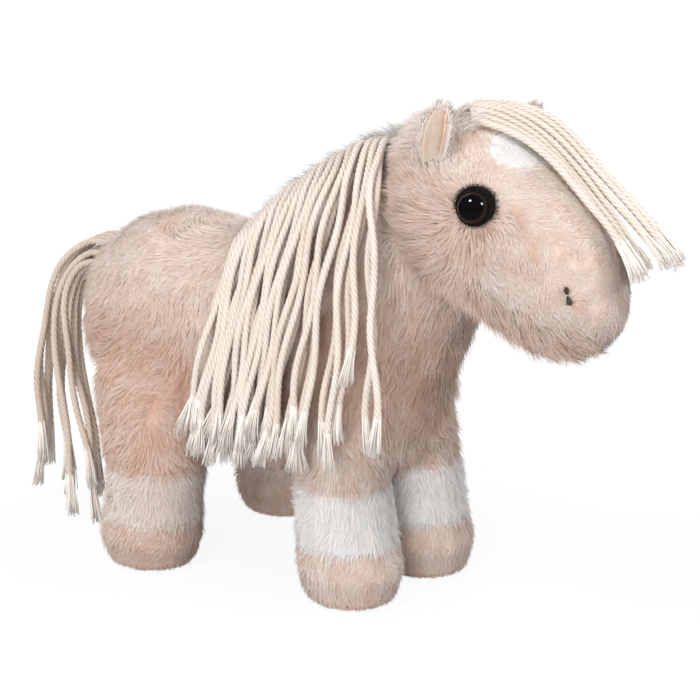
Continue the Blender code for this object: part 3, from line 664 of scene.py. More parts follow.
def twisted_cord(name, route, seed, tones, finishes, flare, wander, tuft_length):
    """Three strands twisted together, frayed at the end. Returns the piece and its path."""
    rng = np.random.default_rng(seed)
    ends = np.array(route)
    out = ends[-1] - ends[-2]
    out /= np.linalg.norm(out)
    drop = out + np.array((0.0, 0.0, -0.35))
    drop /= np.linalg.norm(drop)
    points = [*route, Vector(ends[-1] + out * tuft_length * 0.5),
              Vector(ends[-1] + out * tuft_length * 0.5 + drop * tuft_length * 0.5)]
    line, marks = resampled(points, cord_ring_step)
    tangents, sides, ups = ring_frames(line)
    total = marks[-1]
    # A slow wander, none at the root
    phase = rng.uniform(0, 2 * math.pi, 2)
    ease = smooth_step(marks, 0.01, 0.08)
    for axis, turn in ((sides, phase[0]), (ups, phase[1])):
        wave = np.sin(2 * math.pi * marks / cord_wander_length + turn) * wander * ease
        line = line + axis * wave[:, None]
    twisted = marks <= total - tuft_length
    count = int(twisted.sum())
    turn = rng.uniform(0, 2 * math.pi)
    around = 2 * math.pi * np.arange(cord_sides) / cord_sides
    lobe = np.abs(np.cos(cord_strands / 2 * around))
    radius = cord_diameter / 2 * (1 - cord_valley_share + cord_valley_share * lobe)
    spin = turn - 2 * math.pi * marks[:count] / (cord_lay_length * rng.uniform(0.92, 1.1))
    angle = spin[:, None] + around[None, :]
    ahead = total - tuft_length - marks[:count]
    loose = 1 + 0.16 * np.clip(1 - ahead / 0.012, 0, 1) ** 2 - 0.60 * np.clip(1 - ahead / 0.004, 0, 1) ** 2
    size = radius[None, :] * loose[:, None]
    verts = (line[:count, None, :] + sides[:count, None, :] * (np.cos(angle) * size)[..., None]
             + ups[:count, None, :] * (np.sin(angle) * size)[..., None]).reshape(-1, 3)
    ring = np.arange(cord_sides)
    low = (np.arange(count - 1)[:, None] * cord_sides + ring[None, :]).ravel()
    low_next = (np.arange(count - 1)[:, None] * cord_sides
                + ((ring + 1) % cord_sides)[None, :]).ravel()
    quads = np.stack([low, low_next, low_next + cord_sides, low + cord_sides], 1)
    faces = [tuple(face) for face in quads]
    faces.append(tuple(reversed(range(cord_sides))))
    faces.append(tuple(range((count - 1) * cord_sides, count * cord_sides)))
    shade = tones[0] + rng.uniform(-0.06, 0.06)
    strand = np.concatenate([np.tile(shade + (tones[1] - tones[0]) * lobe, count)[:, None],
                             np.repeat(marks[:count], cord_sides)[:, None]], 1)
    all_verts, all_uv = [verts], [strand]
    start = len(verts)
    # The frayed hairs
    first = np.searchsorted(marks, total - tuft_length - tuft_inside)
    for hair in range(tuft_hairs):
        bearing = rng.uniform(0, 2 * math.pi)
        share = rng.uniform(0, 1) ** 0.4
        length_share = rng.uniform(0.80, 1.0)
        bend = rng.uniform(-0.0004, 0.0004, 2)
        rings = []
        for part in (0.0, 0.35, 0.7, 1.0):
            index = min(first + int(part * length_share * (len(marks) - 1 - first)),
                        len(marks) - 1)
            spread = share * (cord_diameter * 0.44 + flare * part ** 1.4)
            middle = (line[index] + sides[index] * (math.cos(bearing) * spread + bend[0] * part ** 2)
                      + ups[index] * (math.sin(bearing) * spread + bend[1] * part ** 2))
            for corner in range(3):
                spot = bearing + 2 * math.pi * corner / 3
                rings.append(middle + (sides[index] * math.cos(spot) + ups[index] * math.sin(spot))
                             * tuft_hair_radius * (1 - 0.35 * part))
        all_verts.append(np.array(rings))
        tint = rng.uniform(0.85, 1.40)
        all_uv.append(np.tile([[tint, marks[first]]], (12, 1)))
        for step in range(3):
            for corner in range(3):
                a, b = start + 3 * step + corner, start + 3 * step + (corner + 1) % 3
                faces.append((a, b, b + 3, a + 3))
        faces.append((start + 2, start + 1, start))
        faces.append((start + 9, start + 10, start + 11))
        start += 12
    piece = mesh_piece(name, np.concatenate(all_verts), faces, finishes["cream_cord"],
                       {"strand": np.concatenate(all_uv)})
    shown = len(line) - round(tuft_length * 0.07 / cord_ring_step)
    return piece, line[:shown]


def mesh_piece(name, verts, faces, material, maps=None):
    """An object from points and faces, with UV maps given by point."""
    mesh = bpy.data.meshes.new(name)
    mesh.from_pydata([tuple(map(float, point)) for point in verts], [], faces)
    corners = np.empty(len(mesh.loops), np.int32)
    mesh.loops.foreach_get("vertex_index", corners)
    for label, values in (maps or {}).items():
        layer = mesh.uv_layers.new(name=label)
        layer.data.foreach_set("uv", np.asarray(values, np.float32)[corners].ravel())
    mesh.shade_smooth()
    mesh.materials.append(material)
    piece = bpy.data.objects.new(name, mesh)
    bpy.context.scene.collection.objects.link(piece)
    return piece


def make_cords(finishes):
    """The mane, the forelock and the tail. Returns points on all the cords, and their roots."""
    rows = (
        ("mane", cord_routes(mane_guides, mane_guide_shares, mane_cords, mane_layers,
                             Vector((0, -1, 1)), mane_variation_share, locks=mane_locks)),
        ("forelock", cord_routes(forelock_guides, even_shares(3), forelock_cords, 1,
                                 Vector((1, 0, 2)), forelock_variation_share)),
        ("tail", cord_routes(tail_guides, even_shares(3), tail_cords, tail_layers,
                             Vector((0, -1, 0)), tail_variation_share, True)),
    )
    lines = []
    roots = {}
    for label, routes in rows:
        for number, route in enumerate(routes):
            name = f"{label}_cord_{number + 1}"
            if label == "mane" and number == short_mane_cord:
                route = route[:round(len(route) * short_mane_share)]
            drop, steps = root_drops.get(label, (0.0, 1))
            if label == "mane":
                drop += mane_rear_drop * (1 - number / mane_cords)
                if number % mane_layers:
                    drop += cord_diameter + cord_layer_gap
            route = [point - Vector((0, 0, drop * max(0.0, 1 - step / steps)))
                     for step, point in enumerate(route)]
            valley, ridge = cord_tones[label]
            # The mane's under layer of cords gets a darker ridge tone: painted shade under the upper layer.
            below = label == "mane" and number % mane_layers == 0
            piece, line = twisted_cord(name, route, 1000 + 100 * len(label) + number,
                                       (valley, ridge - 0.12 * below), finishes,
                                       tuft_spread * (2.2 if below and number < 30 else 1.0 if label == "mane" else 0.8),
                                       cord_wander[label], tuft_lengths[label])
            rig.ride(piece, "root")
            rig.slot(piece, "cream_cord")
            node = f"mane_lock_{number * mane_locks // mane_cords + 1}" if label == "mane" else label
            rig.replaces(piece, node)
            if label != "mane" or number in declared_mane_cords:
                long = float(np.linalg.norm(np.diff(line, axis=0), axis=1).sum())
                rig.cord(piece, exit=line[0], length=round(long, 3), diameter=cord_diameter,
                        far_end="bare", stiffness="limp", lay="hanging", path=line[::2])
            lines.append(line[::4])
            roots.setdefault(label, []).append(line[0])
    return np.concatenate(lines), roots


# The shade between a cord's strands and the tone on them; the darker tone between the strands is painted shade, and
# the tail's lower tones are painted shade at the rear
cord_tones = {"mane": (0.12, 0.60), "forelock": (0.12, 0.60), "tail": (-0.10, 0.18)}


# The skin under the pile


class Skin:
    """The points, faces and normals of the body's smooth skin, and the CAD node nearest to each."""

    def __init__(self, nodes):
        stuffed = [name for name in nodes
                   if name.endswith(("_cover", "_band", "_sole", "_star", "_filling"))]
        mesh = merged_mesh(nodes, stuffed)
        piece = bpy.data.objects.new("skin", mesh)
        bpy.context.scene.collection.objects.link(piece)
        remesh = piece.modifiers.new("even_squares", "REMESH")
        remesh.mode = "VOXEL"
        remesh.voxel_size = skin_voxel
        made = plain_mesh(piece)
        self.points = read(made.vertices, "co", 3)
        self.faces = np.array([tuple(face.vertices) for face in made.polygons])
        self.edges = np.array([tuple(edge.vertices) for edge in made.edges])
        self.degree = np.bincount(self.edges.ravel(), minlength=len(self.points))
        bpy.data.objects.remove(piece)
        self.even_out()
        outer = [name for name in stuffed if not name.endswith("_filling")]
        points, faces, owners = [], [], []
        for name in outer:
            start = len(points)
            points += [vertex.co.copy() for vertex in nodes[name].data.vertices]
            for face in nodes[name].data.polygons:
                faces.append([start + index for index in face.vertices])
                owners.append(name)
        self.tree = BVHTree.FromPolygons(points, faces)
        self.owners = owners

    def near_mean(self, values):
        """The mean of the neighbours of each point."""
        first, second = self.edges.T
        count = len(self.points)
        columns = values.reshape(count, -1)
        total = [np.bincount(first, columns[second, column], count)
                 + np.bincount(second, columns[first, column], count)
                 for column in range(columns.shape[1])]
        return (np.stack(total, 1) / self.degree[:, None]).reshape(values.shape)

    def even_out(self):
        """Smooths facets away without shrinking the body."""
        for _ in range(skin_smoothing):
            for share in (0.55, -0.57):
                self.points += share * (self.near_mean(self.points) - self.points)

    def softened(self, values, rounds):
        for _ in range(rounds):
            values = 0.5 * values + 0.5 * self.near_mean(values)
        return values

    def normals(self):
        corners = self.points[self.faces]
        square = np.cross(corners[:, 2] - corners[:, 0], corners[:, 3] - corners[:, 1])
        total = np.zeros_like(self.points)
        for corner in range(4):
            for axis in range(3):
                total[:, axis] += np.bincount(self.faces[:, corner], square[:, axis],
                                              len(self.points))
        return total / np.maximum(np.linalg.norm(total, axis=1), 1e-12)[:, None]

    def nearest(self, places):
        return [self.owners[self.tree.find_nearest(Vector(place))[2]] for place in places]


def merged_mesh(nodes, names):
    """CAD nodes as one mesh, with the points of their loose triangles merged."""
    joined = bmesh.new()
    for name in names:
        joined.from_mesh(nodes[name].data)
    bmesh.ops.remove_doubles(joined, verts=joined.verts, dist=merge_distance)
    mesh = bpy.data.meshes.new("merged")
    joined.to_mesh(mesh)
    joined.free()
    return mesh


merge_distance = 1e-6


def plain_mesh(piece):
    """The piece's shape with its modifiers, which are then removed."""
    view = bpy.context.evaluated_depsgraph_get()
    mesh = bpy.data.meshes.new_from_object(piece.evaluated_get(view))
    piece.modifiers.clear()
    return mesh


def read(items, name, width):
    values = np.empty(len(items) * width, np.float32)
    items.foreach_get(name, values)
    return values.reshape(-1, width).astype(float)


def smooth_step(value, low, high):
    part = np.clip((value - low) / (high - low), 0, 1)
    return part * part * (3 - 2 * part)


# The head's and the eyes' places in the CAD model
head_origin = np.array((0.0580, 0.0, 0.2030)) + np.array(horse_place)
head_axis = np.array((0.9272, 0.0, -0.3746))
head_side = np.array((-0.0650, 0.9848, -0.1610))
head_up = np.array((0.3689, 0.1736, 0.9131))
eye_seats = {
    "left": ((0.1199, 0.0409, 0.1875), (0.2542, 0.9626, 0.0934)),
    "right": ((0.1249, -0.0354, 0.2000), (0.3735, -0.8423, 0.3886)),
}
legs = {"left_front": (0.0285, 0.056), "right_front": (0.0285, 0.056),
        "left_hind": (0.0235, 0.0485), "right_hind": (0.0235, 0.0485)}
sole_height = 0.003
eye_radius = 0.0067
eye_dome = 0.0051
eye_flange = 0.0010
felt_wall = 0.0012
shank_radius = 0.0024
shank_length = 0.0150
backing_radius = 0.0094


def leg_of(name):
    return next((leg for leg in legs if name.startswith(leg)), None)


def region_at(name, height):
    """The cover at a place: on a leg its height tells the parts from one another."""
    leg = leg_of(name)
    if not leg or name.endswith("_ear"):
        return name
    hoof_top, band_top = legs[leg]
    if height < sole_height * 0.9:
        return f"{leg}_sole"
    if height < hoof_top:
        return f"{leg}_hoof_cover"
    return f"{leg}_leg_band" if height < band_top else f"{leg}_leg_cover"


def make_body(nodes, cord_points, roots):
    """The furry covers, each a stuffed piece in place of its cover and filling."""
    skin = Skin(nodes)
    names = skin.nearest(skin.points)
    regions = [region_at(name, point[2]) for name, point in zip(names, skin.points)]
    # Rows of points are set on the seams of the legs
    for index, name in enumerate(names):
        leg = leg_of(name)
        for seam in legs[leg] if leg else ():
            if abs(skin.points[index, 2] - seam) < skin_voxel * 0.52:
                skin.points[index, 2] = seam
    legs_share = np.array([1.0 if name.endswith("_leg_cover") else 0.0 for name in regions])
    neck_share = np.array([1.0 if name == "neck_cover" else 0.0 for name in regions])
    head_share = np.array([1.0 if name in ("head_cover", "forehead_star") else 0.0
                           for name in regions])
    high = skin.points[:, 2] > 0.062
    for share in (legs_share, neck_share):
        soft = skin.softened(share, 12)
        weight = 4 * soft * (1 - soft) * high * (skin.softened(head_share, 4) < 0.02)
        for _ in range(border_rounds):
            skin.points += (weight * 0.7)[:, None] * (skin.near_mean(skin.points) - skin.points)
    for place, reach, shift in nudges:
        near = 1 - smooth_step(np.linalg.norm(skin.points - np.array(place), axis=1), 0.2 * reach, reach)
        skin.points += near[:, None] * np.array(shift)
    normals = skin.normals()
    feet = 1 - smooth_step(skin.points[:, 2], 0.050, 0.065)
    skin.points[:, :2] += normals[:, :2] * (foot_swell * feet)[:, None]
    pile = skin.softened(pile_lengths(skin, regions), 10)
    comb = skin.softened(brushing(skin, regions, normals), 14)
    comb /= np.maximum(np.linalg.norm(comb, axis=1), 0.25)[:, None]
    for reach, fineness in comb_noise:
        comb += reach * np.array([noise.noise_vector(Vector(point) * fineness) for point in skin.points])
    comb -= normals * (comb * normals).sum(1)[:, None]
    comb /= np.maximum(np.linalg.norm(comb, axis=1), 0.25)[:, None]
    gap = gaps_to(skin.points, cord_points)
    thick = 1 - 0.4 * smooth_step(-normals[:, 2], 0.5, 0.8)
    for place, out in eye_seats.values():
        far = np.linalg.norm(skin.points - np.array(place) - np.array(horse_place), axis=1)
        thick[far < backing_radius * 0.9] = 0.0
    covered = 1 - smooth_step(gap, 0.003, 0.008)
    pile *= 1 - 0.45 * covered
    thick *= 1 - 0.45 * covered
    tint = np.array([0.62 + 0.06 * noise.noise(Vector(point) * 42)
                     + 0.22 * noise.noise(Vector(point) * 150) for point in skin.points])
    # Painted shade in long pile: the tint is lower where the pile is long, on the head and low on the body.
    tint -= 0.20 * smooth_step(pile, 0.0045, 0.0085) * (1 - smooth_step(skin.points[:, 2], 0.12, 0.16) * (1 - head_share))
    # Painted shade: lower tints on the low front of the body, the lower neck, the low hind end, the far front leg and
    # the hind hooves; the near front leg's cover gets a raised tint, painted light.
    painted_front_shade = ((1 - smooth_step(skin.points[:, 2], 0.11, 0.17))
                 * smooth_step(skin.points[:, 0], -0.02, 0.03) * smooth_step(skin.points[:, 2], 0.070, 0.095))
    painted_leg_shade_and_light = np.array([0.04 * (name.startswith("left_front") or name.endswith("_hind_hoof_cover"))
                       - 0.10 * (name == "right_front_leg_cover") for name in regions])
    painted_hind_shade = (1 - smooth_step(skin.points[:, 2], 0.095, 0.150)) * smooth_step(-skin.points[:, 0], 0.02, 0.06)
    painted_neck_shade = neck_share * smooth_step(0.215 - skin.points[:, 2], 0.0, 0.06)
    tint -= (0.11 * skin.softened(np.maximum(painted_neck_shade, painted_front_shade), 10)
             + skin.softened(painted_leg_shade_and_light, 3) + 0.14 * painted_hind_shade)
    bands = np.array([name.endswith("_band") for name in regions])
    # The bands' tint falls towards the rear: painted shade on the hind bands; they also follow the tint around them,
    # painted shade included.
    rear = smooth_step(-skin.points[:, 0], 0.0, 0.04)
    band_tint = skin.softened(bands.astype(float), 2) * (0.51 - 0.34 * rear) + 0.9 * (tint - 0.50)
    tint = np.where(bands, np.maximum(band_tint, 0.22), tint)
    in_star = np.array([name == "forehead_star" for name in regions])
    star = skin.softened(in_star.astype(float), 14)
    tint = np.where(in_star, 0.33 + 0.20 * smooth_step(star, 0.42, 0.62),
                    tint + np.maximum(0.98 - tint, 0.0) * smooth_step(star, 0.0, 0.45))
    tint = np.where([name.endswith("_sole") for name in regions], 0.28, tint)
    # Painted shade: the tint is lower in the creases, whose pile is also shorter, and along the hind legs' partings.
    crease = 1 - smooth_step(gaps_to(skin.points, cheek_crease), 0.0008, 0.0030)
    parting = sum(near * (1 - smooth_step(np.abs(bearing), 0.02, 0.20))
                  for near, bearing, across in hind_partings(skin.points))
    pile *= 1 - 0.35 * crease
    tint -= 0.24 * crease + 0.04 * parting
    skin.points -= normals * (pile * skin_sink_share)[:, None]
    roots = {**roots, "poll": poll_seats, **ear_feet(nodes)}
    for label, away, reach, long, lean, paler, limit in root_fluff:
        seats = np.array(roots[label])
        away = np.array(away)
        tree = point_tree(seats)
        found = [tree.find(point) for point in skin.points]
        far = np.array([item[2] for item in found])
        ahead = np.array([(np.array(point) - np.array(item[0])) @ away
                          for point, item in zip(skin.points, found)])
        share = (1 - smooth_step(far, reach * 0.55, reach)) * (1 - smooth_step(ahead, limit, limit + 0.004))
        pile += (long - pile) * share
        tint += paler * share
        brushed = away - normals * (normals @ away)[:, None]
        comb += (brushed * lean - comb) * share[:, None]
        thick = np.maximum(thick, share)
    for index, name in enumerate(names):
        leg = leg_of(name)
        for seam in legs[leg] if leg else ():
            press = math.exp(-((skin.points[index, 2] - seam) / seam_width) ** 2)
            skin.points[index] -= normals[index] * seam_depth * press
    skin.points[:, 2] = np.maximum(skin.points[:, 2], 0.0006)
    centres = skin.points[skin.faces].mean(1)
    owners = np.array([region_at(name, centre[2])
                       for name, centre in zip(skin.nearest(centres), centres)])
    values = {"comb": comb, "pile_length": pile, "thick": thick, "tint": tint}
    tree = pile_tree()
    fibre = make_fibre(1)
    for name in sorted(set(owners)):
        faces = skin.faces[owners == name]
        used, inverse = np.unique(faces, return_inverse=True)
        patch = patch_piece(f"{name}_plush", skin.points[used], inverse.reshape(faces.shape),
                            {label: value[used] for label, value in values.items()})
        wall = patch.modifiers.new("wall", "SOLIDIFY")
        wall.thickness = skin_wall
        wall.offset = -1.0
        inside = patch.vertex_groups.new(name="inside")
        wall.shell_vertex_group = inside.name
        white = name.endswith(("_band", "_star"))
        finish_name = "white_plush" if white else "beige_plush"
        kind = "band" if white else name if name in fibre_counts else "other"
        grow_pile(patch, tree, fibre, finish_name, fibre_counts[kind])
        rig.ride(patch, "root")
        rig.slot(patch, finish_name)
        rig.padded(patch, fill=0.8)
        filling = name.replace("_cover", "_filling")
        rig.replaces(patch, name, *([filling] if filling != name and filling in nodes else []))
    bpy.data.objects.remove(fibre)


def point_tree(points):
    tree = KDTree(len(points))
    for index, point in enumerate(points):
        tree.insert(point, index)
    tree.balance()
    return tree


def gaps_to(places, points):
    tree = point_tree(points)
    return np.array([tree.find(place)[2] for place in places])


# Longer fur that hides the roots of the cords and the feet of the ears: where it is combed, how
# far it reaches, its length, how far it leans, how much paler it is and how far past them it goes
root_fluff = (
    ("poll", (-0.55, -0.55, 0.0), 0.018, 0.0100, 1.0, 0.12, 0.020),
    ("mane", (-0.15, -0.98, 0.0), 0.018, 0.0125, 1.10, 0.12, 0.006),
    ("forelock", (0.95, -0.10, -0.2), 0.011, 0.0100, 1.0, 0.10, 0.001),
    ("tail", (-0.90, 0.0, -0.40), 0.015, 0.0110, 1.0, 0.05, 0.002),
    ("left_ear", (-0.1, 0.2, 1.0), 0.010, 0.0085, 0.9, 0.10, 0.020),
    ("right_ear", (-0.1, -0.2, 1.0), 0.010, 0.0085, 0.9, 0.10, 0.020),
)
poll_seats = [(0.040, 0.0, 0.216), (0.047, -0.005, 0.219), (0.054, -0.010, 0.221), (0.050, -0.015, 0.219)]


def ear_feet(nodes):
    """The low ends of the ears' linings, where the ears meet the head."""
    feet = {}
    for side in ("left", "right"):
        points = read(nodes[f"{side}_ear_lining"].data.vertices, "co", 3)
        feet[f"{side}_ear"] = points[points[:, 2] < points[:, 2].min() + 0.005]
    return feet


border_rounds = 150
# Where the skin is drawn out or in: the middle, the reach and the shift
nudges = (
    ((0.160, 0.004, 0.142), 0.036, (0.0024, 0.0012, -0.0018)),
    ((0.108, -0.012, 0.146), 0.034, (-0.0006, 0.0, 0.0030)),
    ((-0.110, 0.000, 0.160), 0.050, (0.0, 0.0, 0.0016)),
    ((0.044, -0.004, 0.214), 0.026, (-0.0012, -0.0008, 0.0036)),
)
foot_swell = 0.0013
# How the pile's direction wanders: how far, and how finely
comb_noise = ((1.05, 38), (0.80, 120))
# A short crease in front of the near eye, and one below the near nostril, both darkened with painted shade
cheek_crease = [Vector(point) + horse_place for point in (
    (0.1378, -0.0265, 0.2021), (0.1398, -0.0266, 0.2000), (0.1417, -0.0267, 0.1979),
    (0.1440, -0.0271, 0.1949), (0.1463, -0.0276, 0.1918), (0.1482, -0.0279, 0.1893),
    (0.1500, -0.0281, 0.1867), (0.1515, -0.0282, 0.1842), (0.1530, -0.0284, 0.1816),
    (0.1693, -0.0200, 0.1612), (0.1707, -0.0178, 0.1593), (0.1720, -0.0155, 0.1573))]
seam_width = 0.0022
seam_depth = 0.0005
fibre_counts = {"head_cover": 2.7e6, "neck_cover": 1.8e6, "torso_cover": 1.4e6, "band": 2.3e6,
                "other": 1.7e6}
fibre_width = 0.00028


def pile_lengths(skin, regions):
    """How long the pile is at each point."""
    lengths = {"neck_cover": neck_pile, "forehead_star": star_pile}
    upper = smooth_step(skin.points[:, 2], 0.085, 0.130)
    ends = {"_band": band_pile, "_hoof_cover": hoof_pile, "_sole": sole_pile, "_leg_cover": leg_pile}
    from_head = skin.points - head_origin
    along, high = from_head @ head_axis, from_head @ head_up
    short = np.maximum(smooth_step(along, 0.055, 0.095) * smooth_step(high, -0.026, -0.008),
                       smooth_step(high, 0.004, 0.030))
    face = cheek_pile + (forehead_pile - cheek_pile) * short
    pile = np.empty(len(regions))
    for index, name in enumerate(regions):
        if name == "head_cover":
            pile[index] = face[index]
        elif name == "torso_cover":
            pile[index] = thigh_pile + (torso_pile - thigh_pile) * upper[index]
        else:
            end = next((value for label, value in ends.items() if name.endswith(label)), leg_pile)
            pile[index] = lengths.get(name, end)
    return pile


def brushing(skin, regions, normals):
    """The way that the pile lies at each point."""
    points = skin.points
    flow = np.tile((-0.35, 0.0, -1.0), (len(points), 1))
    flow[:, 1] = np.sign(points[:, 1]) * 0.5 * np.clip(normals[:, 2], 0, 1)
    seats = {side: np.array(seat[0]) + np.array(horse_place) for side, seat in eye_seats.items()}
    for index, name in enumerate(regions):
        if name in ("head_cover", "forehead_star"):
            eye = seats["left" if points[index, 1] > 0 else "right"]
            away = points[index] - eye
            flow[index] = away / max(np.linalg.norm(away), 0.004)
        elif leg_of(name):
            flow[index] = (-0.25, 0.0, -1.0)
    # The fur parts along the seam of each hind leg
    for near, bearing, across in hind_partings(points):
        parted = across * 0.55 * np.clip(bearing / 0.15, -1, 1)[:, None] + np.array((-0.15, 0.0, -0.8))
        flow += (parted - flow) * near[:, None]
    return flow


def hind_partings(points):
    """For each hind leg: how near its seam a point is, its bearing from the seam and the way round."""
    for hind in (-1, 1):
        middle = np.array((hind_middle[0], hind_middle[1] * hind))
        away = points[:, :2] - middle
        bearing = np.arctan2(away[:, 1] * hind, away[:, 0]) - hind_seam_bearing
        bearing = (bearing + math.pi) % (2 * math.pi) - math.pi
        near = (smooth_step(points[:, 2], 0.048, 0.060) * (1 - smooth_step(points[:, 2], 0.085, 0.125))
                * (1 - smooth_step(np.abs(bearing), 0.9, 1.6)) * (points[:, 1] * hind > 0.012)
                * (points[:, 0] < -0.02))
        across = np.stack([-away[:, 1], away[:, 0], np.zeros(len(away))], 1) * hind
        across /= np.maximum(np.linalg.norm(across, axis=1), 1e-6)[:, None]
        yield near, bearing, across


hind_middle = (-0.0777, 0.049)
hind_seam_bearing = math.radians(50)


def patch_piece(name, points, faces, values):
    """A patch of the skin with its values stored by point."""
    mesh = bpy.data.meshes.new(name)
    mesh.from_pydata(points.tolist(), [], faces.tolist())
    store_values(mesh, values)
    piece = bpy.data.objects.new(name, mesh)
    bpy.context.scene.collection.objects.link(piece)
    return piece


def make_fibre(rings):
    """A fibre for the tree to repeat: a pole, thin rings of three points and a pole."""
    shares = [(ring + 1) / (rings + 1) * 0.9 for ring in range(rings)]
    points, along, across = [(0, 0, 0)], [0.0], [(0, 0, 0)]
    for share in shares:
        for corner in range(3):
            turn = 2 * math.pi * corner / 3
            points.append((math.cos(turn), math.sin(turn), share))
            along.append(share)
            across.append((math.cos(turn), math.sin(turn), 0))
    points.append((0, 0, 1))
    along.append(1.0)
    across.append((0, 0, 0))
    last = len(points) - 1
    faces = [(0, 1 + (corner + 1) % 3, 1 + corner) for corner in range(3)]
    for ring in range(rings - 1):
        low = 1 + 3 * ring
        faces += [(low + corner, low + (corner + 1) % 3, low + 3 + (corner + 1) % 3,
                   low + 3 + corner) for corner in range(3)]
    low = last - 3
    faces += [(low + corner, low + (corner + 1) % 3, last) for corner in range(3)]
    fibre = patch_piece(f"fibre_{rings}", np.array(points, float), np.array(faces, object),
                        {"along": np.array(along), "across": np.array(across, float)})
    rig.stage(fibre)
    return fibre


